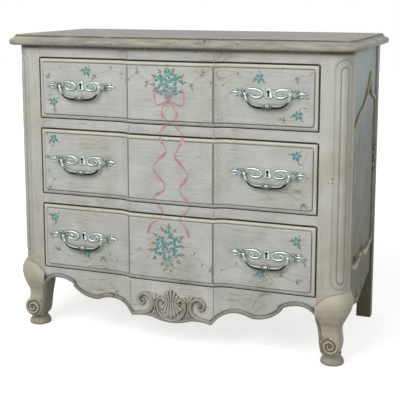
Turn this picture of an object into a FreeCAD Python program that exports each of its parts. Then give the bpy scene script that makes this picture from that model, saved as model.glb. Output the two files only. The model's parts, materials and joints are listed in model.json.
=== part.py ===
"""Painted bachelor chest with three drawers, a break-front and scrolled front legs, in millimetres.

The frame has X to the right and Y to the back, seen from the front, and Z up. The origin is on the
floor, under the middle of the top board. Pieces of the case are drawn with Y counted from the flat
front face of the front posts, and pieces of a drawer with Z counted from the foot of its opening.
"""
import FreeCAD, Part
import math
import os

import Sketcher

SIZES = {
    # Case
    "case_width": 968,
    "case_depth": 440,
    "apron_top": 186,
    "lower_opening": 193,
    "middle_opening": 192,
    "upper_opening": 174,
    "rail_height": 28,
    "top_rail_height": 34,
    # Break-front shared by the rails, drawer fronts and apron
    "centre_half_width": 124,
    "centre_projection": 13,
    "centre_crown": 2,
    "cove_width": 42,
    # Top board
    "top_thickness": 29,
    "nosing_thickness": 18,
    "side_overhang": 24,
    "front_overhang": 24,
    "back_overhang": 4,
    "top_corner_radius": 46,
    "top_moulding_width": 19,
    "top_step_height": 3,
    "top_ogee_width": 96,
    # Front posts
    "post_width": 79,
    "post_depth": 60,
    "corner_radius": 48,
    "panel_half_width": 19,
    "panel_rise": 0.6,
    "panel_margin": 22,
    "bead_half_width": 9,
    "bead_rise": 4.5,
    # Front legs and pads
    "leg_top": 203,
    "knee_height": 150,
    "knee_out": 3,
    "knee_forward": 12,
    "knee_radius": 42,
    "ankle_height": 92,
    "ankle_inset": 18,
    "ankle_hollow": 8,
    "ankle_inner": 8,
    "leg_thickness": 56,
    "leg_edge_radius": 14,
    "volute_height": 58,
    "volute_radius": 24,
    "volute_inset": 38,
    "volute_rise": 5,
    "volute_depth": 4,
    "volute_ridge": 4,
    "toe_inner": 19,
    "toe_outer": 22,
    "pad_height": 30,
    "pad_top_radius": 22,
    "pad_foot_radius": 32,
    "pad_swell": 4,
    "pad_back": 35,
    # Rear posts, sides and back
    "rear_post_width": 43,
    "rear_post_depth": 30,
    "side_thickness": 18,
    "side_inset": 6,
    "side_foot": 155,
    "side_drop": 42,
    "side_drop_front": 164,
    "moulding_width": 9,
    "moulding_rise": 5,
    "moulding_front_margin": 14,
    "moulding_rear_margin": 5,
    "moulding_foot": 243,
    "moulding_front_height": 380,
    "moulding_cusp_height": 520,
    "moulding_cusp_back": 98,
    "moulding_rear_height": 445,
    "moulding_corner": 20,
    "back_thickness": 6,
    "back_inset": 6,
    "back_foot": 150,
    "back_rail_height": 50,
    "back_rail_thickness": 18,
    # Apron
    "apron_depth": 24,
    "apron_end": 50,
    "apron_crest": 28,
    "apron_notch": 41,
    "notch_step": 7,
    "apron_cusp": 79,
    "apron_corner": 108,
    "apron_saddle": 104,
    "apron_drop": 115,
    "crest_from_post": 48,
    "notch_from_post": 93,
    "cusp_from_post": 175,
    "corner_inset": 6,
    "saddle_half_width": 58,
    "apron_bead": 9,
    "apron_bead_rise": 3,
    # Shell carved on the apron
    "shell_waist": 62,
    "shell_lobe_length": 50,
    "shell_lobe_radius": 8,
    "shell_leaf_length": 38,
    "shell_leaf_radius": 5,
    "shell_stem_radius": 1.6,
    "shell_stem_start": 6,
    "shell_button": 9,
    "scroll_radius": 21,
    "scroll_rise": 6,
    "scroll_offset": 86,
    "scroll_drop": 68,
    # Runners and glue blocks
    "runner_height": 20,
    "runner_reach": 25,
    "guide_height": 15,
    "guide_clearance": 2,
    "stop_thickness": 15,
    "stop_height": 14,
    "stop_gap": 0.5,
    "block_length": 60,
    "block_width": 38,
    "block_height": 20,
    # Drawers
    "front_gap": 2.5,
    "front_thickness": 22,
    "border_width": 11,
    "border_rise": 2,
    "field_rise": 5,
    "field_corner": 6,
    "box_clearance": 5,
    "run_clearance": 0.3,
    "box_thickness": 12,
    "box_headroom": 24,
    "bottom_thickness": 6,
    "bottom_lift": 12,
    # Pulls
    "pull_lift": 10,
    "post_spacing": 146,
    "plate_length": 212,
    "plate_height": 24,
    "plate_thickness": 3,
    "neck_height": 8,
    "shield_half_width": 11,
    "lobe_end": 52,
    "rosette_half_width": 9,
    "keyhole_width": 4,
    "keyhole_height": 11,
    "boss_radius": 6.5,
    "boss_length": 14,
    "stud_radius": 2.5,
    "stud_clearance": 0.2,
    "nut_radius": 5.5,
    "nut_thickness": 5,
    "stud_end": 2,
    "bail_radius": 3.6,
    "bail_eye_radius": 4.6,
    "bail_drop": 35,
    "bail_bend": 22,
    "bail_clearance": 0.4,
    "pivot_radius": 2.2,
    "pivot_clearance": 0.08,
    "pivot_depth": 6,
    "knuckle_radius": 5.2,
    "knuckle_ring": 1.4,
    "knuckle_spacing": 8,
}

SHELL_LOBES = 7
SHELL_LEAVES = 5
LOBE_FAN = 104
LEAF_FAN = 76
VOLUTE_QUARTERS = 8
CORNER_RISE = "0.29289"

document = FreeCAD.newDocument("BachelorChest")
sheet = document.addObject("Spreadsheet::Sheet", "Sizes")
for row, (name, size) in enumerate(SIZES.items(), start=1):
    sheet.set(f"A{row}", name)
    sheet.set(f"B{row}", str(size))
    sheet.setAlias(f"B{row}", name)
document.recompute()

# Places worked out from the driving sizes
HALF_CASE = "(Sizes.case_width / 2)"
OPENING_EDGE = f"({HALF_CASE} - Sizes.post_width)"
FRONT = "(-(Sizes.case_depth + Sizes.back_overhang - Sizes.front_overhang - Sizes.centre_projection) / 2)"
MIDDLE_FOOT = "(Sizes.apron_top + Sizes.lower_opening + Sizes.rail_height)"
UPPER_FOOT = f"({MIDDLE_FOOT} + Sizes.middle_opening + Sizes.rail_height)"
TOP_RAIL_FOOT = f"({UPPER_FOOT} + Sizes.upper_opening)"
CASE_TOP = f"({TOP_RAIL_FOOT} + Sizes.top_rail_height)"
REAR_POST_FACE = "(Sizes.case_depth - Sizes.rear_post_depth)"
SIDE_OUTER = f"({HALF_CASE} - Sizes.side_inset)"
SIDE_INNER = f"({SIDE_OUTER} - Sizes.side_thickness)"
REAR_POST_INNER = f"({HALF_CASE} - Sizes.rear_post_width)"
BOX_EDGE = f"({OPENING_EDGE} - Sizes.box_clearance)"
BOX_INNER = f"({BOX_EDGE} - Sizes.box_thickness)"
BOX_REAR = f"({REAR_POST_FACE} - Sizes.stop_thickness - Sizes.stop_gap)"
FIELD_FACE = "(Sizes.border_rise + Sizes.field_rise)"
PULL_X = f"(({OPENING_EDGE} + Sizes.centre_half_width + Sizes.cove_width / 3) / 2)"
PLATE_FACE = f"({FIELD_FACE} + Sizes.plate_thickness)"
PIVOT_FACE = f"({PLATE_FACE} + Sizes.boss_length * 0.57)"
BAIL_ARM = "(Sizes.post_spacing / 2 - Sizes.boss_radius - Sizes.bail_eye_radius - Sizes.bail_clearance)"
DRAWERS = {
    "lower": ("Sizes.lower_opening", "Sizes.apron_top"),
    "middle": ("Sizes.middle_opening", MIDDLE_FOOT),
    "upper": ("Sizes.upper_opening", UPPER_FOOT),
}
subparts = []


def value(expression):
    """The number that an expression of the sheet's names gives."""
    return float(sheet.evalExpression(expression))


def place(piece, x="0", y="0", z="0"):
    """Stand a piece at a place given by expressions."""
    for axis, expression in zip("xyz", (x, y, z)):
        if expression != "0":
            piece.setExpression(f"Placement.Base.{axis}", expression)
    return piece


def keep(piece, label):
    """Name a finished piece and put it on the list of sub-parts."""
    piece.Label = label
    subparts.append(piece)
    return piece


def bow(rise):
    """An arc that stands off its chord by a rise, to the left of the way it is drawn."""
    return ("rise", rise)


def bend(radius, side):
    """An arc of under a half circle and a given radius, on the left (1) or right (-1) of its chord."""
    return ("radius", radius, side)


def arc_points(start, end, shape):
    """The rise of an arc, its middle point and the expression of its radius."""
    chord = math.dist(start["at"], end["at"])
    span = f"((({end['x']}) - ({start['x']}))^2 + (({end['y']}) - ({start['y']}))^2)"
    if shape[0] == "rise":
        rise = value(shape[1])
        radius = f"({span} / 4 + ({shape[1]})^2) / (2 * abs({shape[1]}))"
    else:
        half = chord / 2
        rise = shape[2] * (value(shape[1]) - math.sqrt(value(shape[1]) ** 2 - half ** 2))
        radius = shape[1]
    along = [(b - a) / chord for a, b in zip(start["at"], end["at"])]
    middle = [(a + b) / 2 for a, b in zip(start["at"], end["at"])]
    through = (middle[0] - along[1] * rise, middle[1] + along[0] * rise)
    return rise, through, radius


def trace(sketch, points, closed=True):
    """Draw a line or arc from each point to the next, with every point and radius bound to the sheet."""
    corners = []
    for x, y, *shape in points:
        at = (value(x), value(y))
        corners.append({"x": x, "y": y, "at": at, "shape": shape[0] if shape else None})
    first = sketch.GeometryCount
    ends = []
    bound = []
    count = len(corners) if closed else len(corners) - 1
    for index in range(count):
        start = corners[index]
        end = corners[(index + 1) % len(corners)]
        head = FreeCAD.Vector(*start["at"], 0)
        tail = FreeCAD.Vector(*end["at"], 0)
        if start["shape"] is None:
            sketch.addGeometry(Part.LineSegment(head, tail))
            ends.append((1, 2))
            continue
        rise, through, radius = arc_points(start, end, start["shape"])
        ways = (head, tail) if rise < 0 else (tail, head)
        edge = sketch.addGeometry(Part.Arc(ways[0], FreeCAD.Vector(*through, 0), ways[1]))
        ends.append((1, 2) if rise < 0 else (2, 1))
        bound.append((Sketcher.Constraint("Radius", edge, value(radius)), radius))
    for index in range(count):
        corner = corners[index]
        point = ends[index][0]
        for kind, axis, at in (("DistanceX", "x", 0), ("DistanceY", "y", 1)):
            rule = Sketcher.Constraint(kind, -1, 1, first + index, point, corner["at"][at])
            bound.append((rule, corner[axis]))
    joints = []
    for index in range(count if closed else count - 1):
        following = (index + 1) % count
        joints.append(Sketcher.Constraint("Coincident", first + index, ends[index][1],
                                          first + following, ends[following][0]))
    if not closed:
        last = corners[-1]
        for kind, axis, at in (("DistanceX", "x", 0), ("DistanceY", "y", 1)):
            rule = Sketcher.Constraint(kind, -1, 1, first + count - 1, ends[-1][1], last["at"][at])
            bound.append((rule, last[axis]))
    sketch.addConstraint(joints)
    for rule, expression in bound:
        index = sketch.addConstraint(rule)
        sketch.setExpression(f"Constraints[{index}]", expression)


def ring(sketch, x, y, radius):
    """A circle bound to the sheet."""
    centre = FreeCAD.Vector(value(x), value(y), 0)
    edge = sketch.addGeometry(Part.Circle(centre, FreeCAD.Vector(0, 0, 1), value(radius)))
    rules = (("DistanceX", x), ("DistanceY", y))
    for kind, expression in rules:
        index = sketch.addConstraint(Sketcher.Constraint(kind, -1, 1, edge, 3, value(expression)))
        sketch.setExpression(f"Constraints[{index}]", expression)
    index = sketch.addConstraint(Sketcher.Constraint("Radius", edge, value(radius)))
    sketch.setExpression(f"Constraints[{index}]", radius)


def new_body(name):
    return document.addObject("PartDesign::Body", name)


def new_sketch(body, name, plane, offset="0"):
    """An empty sketch on one of the body's own planes, moved along the plane's normal."""
    sketch = body.newObject("Sketcher::SketchObject", name)
    planes = [feature for feature in body.Origin.OriginFeatures if feature.Role == plane]
    sketch.AttachmentSupport = [(planes[0], "")]
    sketch.MapMode = "FlatFace"
    if offset != "0":
        sketch.setExpression("AttachmentOffset.Base.z", offset)
    return sketch


def draw(body, name, plane, points, offset="0"):
    """A closed outline on one of the body's own planes."""
    sketch = new_sketch(body, name, plane, offset)
    trace(sketch, points)
    return sketch


def pad(body, sketch, length, away=False):
    """Thicken a sketch along its plane's normal, or away from it."""
    feature = body.newObject("PartDesign::Pad", f"{sketch.Name}Pad")
    feature.Profile = sketch
    feature.setExpression("Length", length)
    feature.Reversed = away
    document.recompute()
    return feature


def pocket(body, sketch, depth, away=False):
    """Cut a sketch into the body, and see that it takes something off."""
    before = body.Shape.Volume
    feature = body.newObject("PartDesign::Pocket", f"{sketch.Name}Pocket")
    feature.Profile = sketch
    feature.setExpression("Length", depth)
    feature.Reversed = away
    document.recompute()
    if body.Shape.Volume > before - 1:
        raise RuntimeError(f"{feature.Name} cuts nothing")
    return feature


def round_edges(body, name, radius, chosen):
    """Round the edges of the body that a test picks out."""
    base = body.Tip
    edges = []
    for index, edge in enumerate(base.Shape.Edges, start=1):
        if chosen(edge):
            edges.append(f"Edge{index}")
    feature = body.newObject("PartDesign::Fillet", name)
    feature.Base = (base, edges)
    feature.setExpression("Radius", radius)
    document.recompute()
    return feature


def box(name, low, high):
    """A board between two corners given by expressions."""
    board = document.addObject("Part::Box", name)
    for side, start, end in zip(("Length", "Width", "Height"), low, high):
        board.setExpression(side, f"({end}) - ({start})")
    return place(board, *low)


def cylinder(name, radius, length, at, axis):
    """A round bar that starts at a place and runs along X, -Y, -Z or Z."""
    bar = document.addObject("Part::Cylinder", name)
    bar.setExpression("Radius", radius)
    bar.setExpression("Height", length)
    turns = {"X": ((0, 1, 0), 90), "-Y": ((1, 0, 0), 90), "-Z": ((1, 0, 0), 180), "Z": ((0, 0, 1), 0)}
    turn, angle = turns[axis]
    bar.Placement = FreeCAD.Placement(FreeCAD.Vector(), FreeCAD.Rotation(FreeCAD.Vector(*turn), angle))
    return place(bar, *at)


def fuse(name, pieces):
    whole = document.addObject("Part::MultiFuse", name)
    whole.Shapes = pieces
    return whole


def combine(kind, name, base, tool):
    """A cut or a common of two pieces."""
    result = document.addObject(f"Part::{kind}", name)
    result.Base = base
    result.Tool = tool
    return result


def group(name, pieces):
    """Separate solids that share one node."""
    whole = document.addObject("Part::Compound", name)
    whole.Links = pieces
    return whole


def mirrored(piece, label):
    """The left-hand fellow of a right-hand piece."""
    fellow = document.addObject("Part::Mirroring", f"{label}_mirror")
    fellow.Source = piece
    fellow.Normal = (1, 0, 0)
    return keep(fellow, label)


def fold(points, axis, tip=None):
    """Follow an outline with its mirror image, drawn back to the start, through a tip if there is one."""
    back = []
    if tip:
        back.append((*tip, *points[-1][2:]))
    for index in range(len(points) - 1, -1, -1):
        x, y = points[index][:2]
        at = (f"-({x})", y) if axis == "X" else (x, f"-({y})")
        shape = points[index - 1][2:] if index > 0 else ()
        back.append((*at, *shape))
    return list(points) + back


def both_halves(points, middle=()):
    """Close a right-hand outline with its mirror on the left, and bow the edge across the middle."""
    outline = fold(points, "X")
    outline[-1] = (*outline[-1][:2], *middle)
    return outline


def break_front(edge, face, back):
    """Plan of a board across the front: flat wings, hollow coves and a crowned centre block."""
    turn = "((Sizes.cove_width^2 + Sizes.centre_projection^2) / (2 * Sizes.centre_projection))"
    forward = f"-(Sizes.centre_projection) - ({face})"
    return both_halves([
        ("Sizes.centre_half_width", forward, bend(turn, 1)),
        ("Sizes.centre_half_width + Sizes.cove_width", f"-({face})"),
        (edge, f"-({face})"),
        (edge, back),
    ], [bow("-Sizes.centre_crown")])


def top_outline(inset):
    """Plan of the top at a distance inside its nosing, with a soft ogee beside the centre."""
    side = f"({HALF_CASE} + Sizes.side_overhang - ({inset}))"
    corner = f"(Sizes.top_corner_radius - ({inset}))"
    front = f"(-Sizes.front_overhang + ({inset}))"
    centre = f"({front} - Sizes.centre_projection)"
    back = "Sizes.case_depth + Sizes.back_overhang"
    run = "Sizes.top_ogee_width"
    turn = f"(({run}^2 + Sizes.centre_projection^2) / (4 * Sizes.centre_projection))"
    start = "Sizes.centre_half_width"
    return both_halves([
        (start, centre, bend(turn, -1)),
        (f"{start} + {run} / 2", f"({front} + {centre}) / 2", bend(turn, 1)),
        (f"{start} + {run}", front),
        (f"{side} - {corner}", front, bow(f"-{CORNER_RISE} * {corner}")),
        (side, f"{front} + {corner}"),
        (side, back),
    ])


def make_top():
    """Top board: round nosing below, a hollow slope and a fine step up to the flat."""
    top = new_body("Top")
    slope_foot = "(Sizes.top_moulding_width / 4)"
    slope_head = "(Sizes.top_moulding_width * 0.9)"
    step = "(Sizes.top_thickness - Sizes.top_step_height)"
    nosing = draw(top, "Nosing", "XY_Plane", top_outline("0"))
    pad(top, nosing, "Sizes.nosing_thickness")
    back = value("Sizes.case_depth + Sizes.back_overhang")
    round_edges(top, "RoundNosing", "Sizes.nosing_thickness * 0.45",
                lambda edge: edge.BoundBox.ZLength < 0.01 and edge.BoundBox.YMin < back - 0.01)
    foot = draw(top, "SlopeFoot", "XY_Plane", top_outline(f"{slope_foot} + Sizes.nosing_thickness * 0.2"),
                "Sizes.nosing_thickness - Sizes.top_step_height")
    head = draw(top, "SlopeHead", "XY_Plane", top_outline(slope_head), step)
    slope = top.newObject("PartDesign::AdditiveLoft", "Slope")
    slope.Profile = foot
    slope.Sections = [head]
    slope.Ruled = True
    document.recompute()
    flat = draw(top, "Flat", "XY_Plane", top_outline("Sizes.top_moulding_width"), step)
    pad(top, flat, "Sizes.top_step_height")
    place(top, y=FRONT, z=CASE_TOP)
    keep(top, "top_board")


def capsule(half_width, foot, head):
    """An upright band with round ends."""
    turn = bow(f"-{CORNER_RISE} * ({half_width})")
    return [
        (half_width, f"({foot}) + ({half_width})"),
        (half_width, f"({head}) - ({half_width})", turn),
        ("0", head, turn),
        (f"-({half_width})", f"({head}) - ({half_width})"),
        (f"-({half_width})", f"({foot}) + ({half_width})", turn),
        ("0", foot, turn),
    ]


def make_posts():
    """Front posts: a flat face, a round corner and a long bead in a sunk panel on that corner."""
    post = new_body("Post")
    turn = f"{HALF_CASE} - Sizes.corner_radius"
    section = draw(post, "Section", "XY_Plane", [
        (OPENING_EDGE, "0"),
        (turn, "0", bow(f"-{CORNER_RISE} * Sizes.corner_radius")),
        (HALF_CASE, "Sizes.corner_radius"),
        (HALF_CASE, "Sizes.post_depth"),
        (OPENING_EDGE, "Sizes.post_depth"),
    ], "Sizes.leg_top")
    pad(post, section, f"{CASE_TOP} - Sizes.leg_top")
    foot = "Sizes.leg_top + Sizes.panel_margin / 2"
    head = f"{CASE_TOP} - Sizes.panel_margin"
    ease = "(Sizes.panel_half_width - Sizes.bead_half_width)"
    halfway = "(Sizes.corner_radius / 2 * cos(45))"
    bands = (("Panel", "Sizes.panel_half_width", foot, head, "Sizes.panel_rise"),
             ("Bead", "Sizes.bead_half_width", f"{foot} + {ease}", f"{head} - {ease}", "Sizes.bead_rise"))
    for name, half_width, low, high, rise in bands:
        band = new_sketch(post, name, "XZ_Plane")
        diagonal = FreeCAD.Rotation(FreeCAD.Vector(0, 1, 0), 45)
        band.AttachmentOffset = FreeCAD.Placement(FreeCAD.Vector(), diagonal)
        band.setExpression("AttachmentOffset.Base.x", f"{turn} + {halfway}")
        band.setExpression("AttachmentOffset.Base.z", f"{halfway} - Sizes.corner_radius")
        trace(band, capsule(half_width, low, high))
        pad(post, band, f"Sizes.corner_radius / 2 + {rise}")
    axis = FreeCAD.Vector(value(turn), value("Sizes.corner_radius"), 0)
    outward = FreeCAD.Vector(1, -1, 0).normalize()
    reach = value("Sizes.corner_radius + Sizes.bead_rise")

    def on_bead(edge):
        return all(abs((vertex.Point - axis).dot(outward) - reach) < 0.01 for vertex in edge.Vertexes)

    round_edges(post, "RoundBead", "(Sizes.bead_rise - Sizes.panel_rise) * 0.8", on_bead)
    place(post, y=FRONT)
    keep(post, "right_front_post")
    mirrored(post, "left_front_post")


def leg_section(inner, outer, front, back, radius):
    """Level section of a leg, with a round outer front corner."""
    return [
        (inner, back),
        (inner, front),
        (f"({outer}) - ({radius})", front, bow(f"-{CORNER_RISE} * ({radius})")),
        (outer, f"({front}) + ({radius})"),
        (outer, back),
    ]


def spiral_groove(x, y, rim):
    """Outline of a groove that winds inward by quarter turns, of the same width as its ridge."""
    step = "(Sizes.volute_ridge / 2)"
    half = "(Sizes.volute_ridge / 2)"
    radius = f"({rim} - 1.25 * Sizes.volute_ridge)"
    starts = ((1, 0), (0, 1), (-1, 0), (0, -1))
    outer, inner = [], []
    for quarter in range(VOLUTE_QUARTERS + 1):
        reach = f"({radius} - {quarter} * {step})"
        across, up = starts[quarter % 4]
        for rim, side in ((outer, 1), (inner, -1)):
            rim.append((f"{x} + {across} * ({reach} + {side} * {half})",
                        f"{y} + {up} * ({reach} + {side} * {half})"))
    points = []
    for quarter in range(VOLUTE_QUARTERS):
        reach = f"({radius} - ({quarter} + 0.5) * {step} + {half})"
        points.append((*outer[quarter], bow(f"-{CORNER_RISE} * {reach}")))
    points.append(outer[-1])
    for quarter in range(VOLUTE_QUARTERS, 0, -1):
        reach = f"({radius} - ({quarter} - 0.5) * {step} - {half})"
        points.append((*inner[quarter], bow(f"{CORNER_RISE} * {reach}")))
    points.append(inner[0])
    return points


def make_legs():
    """Front legs: a swelling knee, a thin ankle and a volute over a turned pad."""
    leg = new_body("Leg")
    volute = f"({HALF_CASE} - Sizes.volute_inset)"
    stations = (
        ("Sizes.leg_top", OPENING_EDGE, HALF_CASE, "0", "Sizes.post_depth", "Sizes.corner_radius"),
        ("Sizes.knee_height", OPENING_EDGE, f"{HALF_CASE} + Sizes.knee_out", "-Sizes.knee_forward",
         "Sizes.post_depth", "Sizes.knee_radius"),
        ("Sizes.ankle_height", f"{OPENING_EDGE} + Sizes.ankle_inner", f"{HALF_CASE} - Sizes.ankle_inset",
         "Sizes.ankle_hollow", "Sizes.leg_thickness", "Sizes.leg_edge_radius"),
        ("Sizes.volute_height", f"{OPENING_EDGE} + Sizes.ankle_inner", f"{volute} + Sizes.volute_radius",
         "0", "Sizes.leg_thickness", "Sizes.leg_edge_radius"),
        ("Sizes.pad_height", f"{OPENING_EDGE} + Sizes.toe_inner", f"{HALF_CASE} - Sizes.toe_outer",
         "Sizes.ankle_hollow", "Sizes.leg_thickness", "Sizes.leg_edge_radius"),
    )
    sections = []
    for number, (height, *sides) in enumerate(stations):
        sections.append(draw(leg, f"Station{number}", "XY_Plane", leg_section(*sides), height))
    shank = leg.newObject("PartDesign::AdditiveLoft", "Shank")
    shank.Profile = sections[0]
    shank.Sections = sections[1:]
    document.recompute()
    shoulder = draw(leg, "Shoulder", "XZ_Plane", [
        ("0", "Sizes.ankle_height"),
        (OPENING_EDGE, "Sizes.ankle_height"),
        (OPENING_EDGE, "Sizes.leg_top + Sizes.rail_height"),
        ("0", "Sizes.leg_top + Sizes.rail_height"),
    ], "Sizes.post_depth")
    behind = draw(leg, "Behind", "XY_Plane", [
        ("0", "Sizes.post_depth"),
        (f"{HALF_CASE} + 2 * Sizes.knee_out", "Sizes.post_depth"),
        (f"{HALF_CASE} + 2 * Sizes.knee_out", "2 * Sizes.post_depth"),
        ("0", "2 * Sizes.post_depth"),
    ])
    for name, face, length, away in (("ShoulderTrim", shoulder, "4 * Sizes.post_depth", False),
                                     ("BackTrim", behind, "2 * Sizes.leg_top", True)):
        trim = leg.newObject("PartDesign::Pocket", name)
        trim.Profile = face
        trim.setExpression("Length", length)
        trim.Reversed = away
        document.recompute()
    disc = new_sketch(leg, "Disc", "XZ_Plane", "Sizes.volute_rise")
    ring(disc, volute, "Sizes.volute_height", "Sizes.volute_radius")
    pad(leg, disc, "Sizes.volute_rise + Sizes.leg_thickness / 2", away=True)
    turns = spiral_groove(volute, "Sizes.volute_height", "Sizes.volute_radius")
    groove = draw(leg, "Groove", "XZ_Plane", turns, "Sizes.volute_rise")
    pocket(leg, groove, "Sizes.volute_depth")
    place(leg, y=FRONT)
    keep(leg, "right_front_leg")
    mirrored(leg, "left_front_leg")

    turned = new_body("Turned")
    profile = draw(turned, "Profile", "XZ_Plane", [
        ("0", "0"),
        ("Sizes.pad_foot_radius", "0", bow("-Sizes.pad_swell")),
        ("Sizes.pad_top_radius", "Sizes.pad_height"),
        ("0", "Sizes.pad_height"),
    ])
    turning = turned.newObject("PartDesign::Revolution", "Turning")
    turning.Profile = profile
    turning.ReferenceAxis = (profile, ["V_Axis"])
    turning.Angle = 360
    document.recompute()
    place(turned, f"{HALF_CASE} - Sizes.volute_inset", f"{FRONT} + Sizes.pad_back")
    keep(turned, "right_front_pad")
    mirrored(turned, "left_front_pad")


def moulding_outline(inset):
    """Outline of the side's cusped moulding, at a distance inside its outer edge."""
    front = f"(Sizes.post_depth + Sizes.moulding_front_margin + {inset})"
    rear = f"({REAR_POST_FACE} - Sizes.moulding_rear_margin - {inset})"
    foot = f"(Sizes.moulding_foot + {inset})"
    front_head = f"(Sizes.moulding_foot + Sizes.moulding_front_height - 0.6 * {inset})"
    cusp = f"({REAR_POST_FACE} - Sizes.moulding_cusp_back)"
    cusp_head = f"(Sizes.moulding_foot + Sizes.moulding_cusp_height - 2 * {inset})"
    rear_head = f"(Sizes.moulding_foot + Sizes.moulding_rear_height - {inset})"
    corner = "Sizes.moulding_corner"
    waist = f"(({front} + {cusp}) / 2)"
    waist_head = f"({front_head} + 0.36 * ({cusp_head} - {front_head}))"
    return [
        (front, foot),
        (front, front_head, bow("Sizes.moulding_corner * 0.4")),
        (waist, waist_head, bow("-Sizes.moulding_corner * 0.6")),
        (cusp, cusp_head, bow("-Sizes.moulding_corner * 0.5")),
        (f"({cusp} + {rear} - {corner}) / 2", f"{rear_head} + 0.4 * {corner}", bow(f"0.1 * {corner}")),
        (f"{rear} - {corner}", rear_head, bow(f"0.24 * {corner}")),
        (rear, f"{rear_head} - {corner}"),
        (rear, f"{foot} + {corner}", bow(f"0.29 * {corner}")),
        (f"{rear} - {corner}", foot),
    ]


def make_sides():
    """Side panels with a shaped lower edge, each with an applied moulding."""
    panel = new_body("Side")
    drop = "Sizes.post_depth + Sizes.side_drop_front"
    outline = draw(panel, "Outline", "YZ_Plane", [
        ("Sizes.post_depth", CASE_TOP),
        ("Sizes.post_depth", "Sizes.side_foot", bow("-Sizes.side_drop / 7")),
        (drop, "Sizes.side_foot - Sizes.side_drop", bow("Sizes.side_drop / 14")),
        (REAR_POST_FACE, "Sizes.side_foot"),
        (REAR_POST_FACE, CASE_TOP),
    ], SIDE_INNER)
    pad(panel, outline, "Sizes.side_thickness")
    place(panel, y=FRONT)
    keep(panel, "right_side_panel")
    mirrored(panel, "left_side_panel")

    moulding = new_body("Moulding")
    loop = new_sketch(moulding, "Loop", "YZ_Plane", SIDE_OUTER)
    trace(loop, moulding_outline("0"))
    trace(loop, moulding_outline("Sizes.moulding_width"))
    pad(moulding, loop, "Sizes.moulding_rise")
    place(moulding, y=FRONT)
    keep(moulding, "right_side_moulding")
    mirrored(moulding, "left_side_moulding")


def make_back():
    """Square rear posts, two rails between them, and a thin back panel."""
    post = box("RearPost", (REAR_POST_INNER, f"{FRONT} + {REAR_POST_FACE}", "0"),
               (HALF_CASE, f"{FRONT} + Sizes.case_depth", CASE_TOP))
    keep(post, "right_rear_post")
    mirrored(post, "left_rear_post")
    panel_rear = f"{FRONT} + Sizes.case_depth - Sizes.back_inset"
    panel_front = f"{panel_rear} - Sizes.back_thickness"
    rail_front = f"{panel_front} - Sizes.back_rail_thickness"
    panel = box("Back", (f"-{REAR_POST_INNER}", panel_front, "Sizes.back_foot"),
                (REAR_POST_INNER, panel_rear, CASE_TOP))
    keep(panel, "back_panel")
    rails = (("back_bottom_rail", "Sizes.back_foot"),
             ("back_top_rail", f"{CASE_TOP} - Sizes.back_rail_height"))
    for label, foot in rails:
        rail = box(label, (f"-{REAR_POST_INNER}", rail_front, foot),
                   (REAR_POST_INNER, panel_front, f"{foot} + Sizes.back_rail_height"))
        keep(rail, label)


def make_rails():
    """Rails across the front, above and between the drawers."""
    lower_foot = f"{MIDDLE_FOOT} - Sizes.rail_height"
    upper_foot = f"{UPPER_FOOT} - Sizes.rail_height"
    rails = (("lower_drawer_rail", lower_foot, "Sizes.rail_height"),
             ("upper_drawer_rail", upper_foot, "Sizes.rail_height"),
             ("top_front_rail", TOP_RAIL_FOOT, "Sizes.top_rail_height"))
    for label, foot, height in rails:
        rail = new_body(f"{label}_body")
        plan = draw(rail, f"{label}_plan", "XY_Plane", break_front(OPENING_EDGE, "0", "Sizes.post_depth"))
        pad(rail, plan, height)
        place(rail, y=FRONT, z=foot)
        keep(rail, label)


def scallop(lift):
    """Lower edge of the apron, from the middle to the right-hand end, raised by a lift."""
    edge = OPENING_EDGE

    def down(drop):
        return f"Sizes.apron_top - ({drop}) + ({lift})"

    return [
        ("Sizes.saddle_half_width", down("Sizes.apron_saddle"), bow("Sizes.apron_bead / 3")),
        ("Sizes.centre_half_width - Sizes.corner_inset", down("Sizes.apron_corner"),
         bow("(Sizes.apron_corner - Sizes.apron_cusp) * 0.78")),
        (f"{edge} - Sizes.cusp_from_post", down("Sizes.apron_cusp"),
         bow("-(Sizes.apron_cusp - Sizes.apron_notch) * 0.26")),
        (f"{edge} - Sizes.notch_from_post", down("Sizes.apron_notch + Sizes.notch_step")),
        (f"{edge} - Sizes.notch_from_post", down("Sizes.apron_notch"), bow("Sizes.apron_bead / 3")),
        (f"{edge} - Sizes.crest_from_post", down("Sizes.apron_crest"), bow("Sizes.apron_bead * 0.8")),
        (edge, down("Sizes.apron_end")),
    ]


def apron_face(lift, head):
    """Front view of the apron between its scalloped edge, raised by a lift, and a level head."""
    right = scallop(lift) + [(OPENING_EDGE, head)]
    return both_halves(right, [bow("-(Sizes.apron_drop - Sizes.apron_saddle)")])


def apron_layer(name, face, lift, head):
    """A break-front board with its face moved forward, cut to the apron's front view."""
    reach = "Sizes.centre_projection + Sizes.centre_crown + 2 * Sizes.apron_bead_rise"
    height = "Sizes.apron_drop + 2 * Sizes.apron_bead"
    board = new_body(f"{name}Board")
    plan = draw(board, f"{name}Plan", "XY_Plane", break_front(OPENING_EDGE, face, "Sizes.apron_depth"))
    pad(board, plan, height)
    place(board, y=FRONT, z=f"Sizes.apron_top + Sizes.apron_bead - ({height})")
    view = new_body(f"{name}View")
    outline = draw(view, f"{name}Outline", "XZ_Plane", apron_face(lift, head), "-Sizes.apron_depth")
    pad(view, outline, f"Sizes.apron_depth + {reach}")
    place(view, y=FRONT)
    return combine("Common", f"{name}Layer", board, view)


def make_apron():
    """Apron: a break-front board with a scalloped lower edge and a bead along it."""
    board = apron_layer("Apron", "0", "0", "Sizes.apron_top")
    whole = apron_layer("Edge", "Sizes.apron_bead_rise", "0", "Sizes.apron_top")
    above = apron_layer("Above", "2 * Sizes.apron_bead_rise", "Sizes.apron_bead",
                        "Sizes.apron_top + Sizes.apron_bead")
    bead = combine("Cut", "ApronBead", whole, above)
    return keep(fuse("ApronWhole", [board, bead]), "apron")


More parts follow.
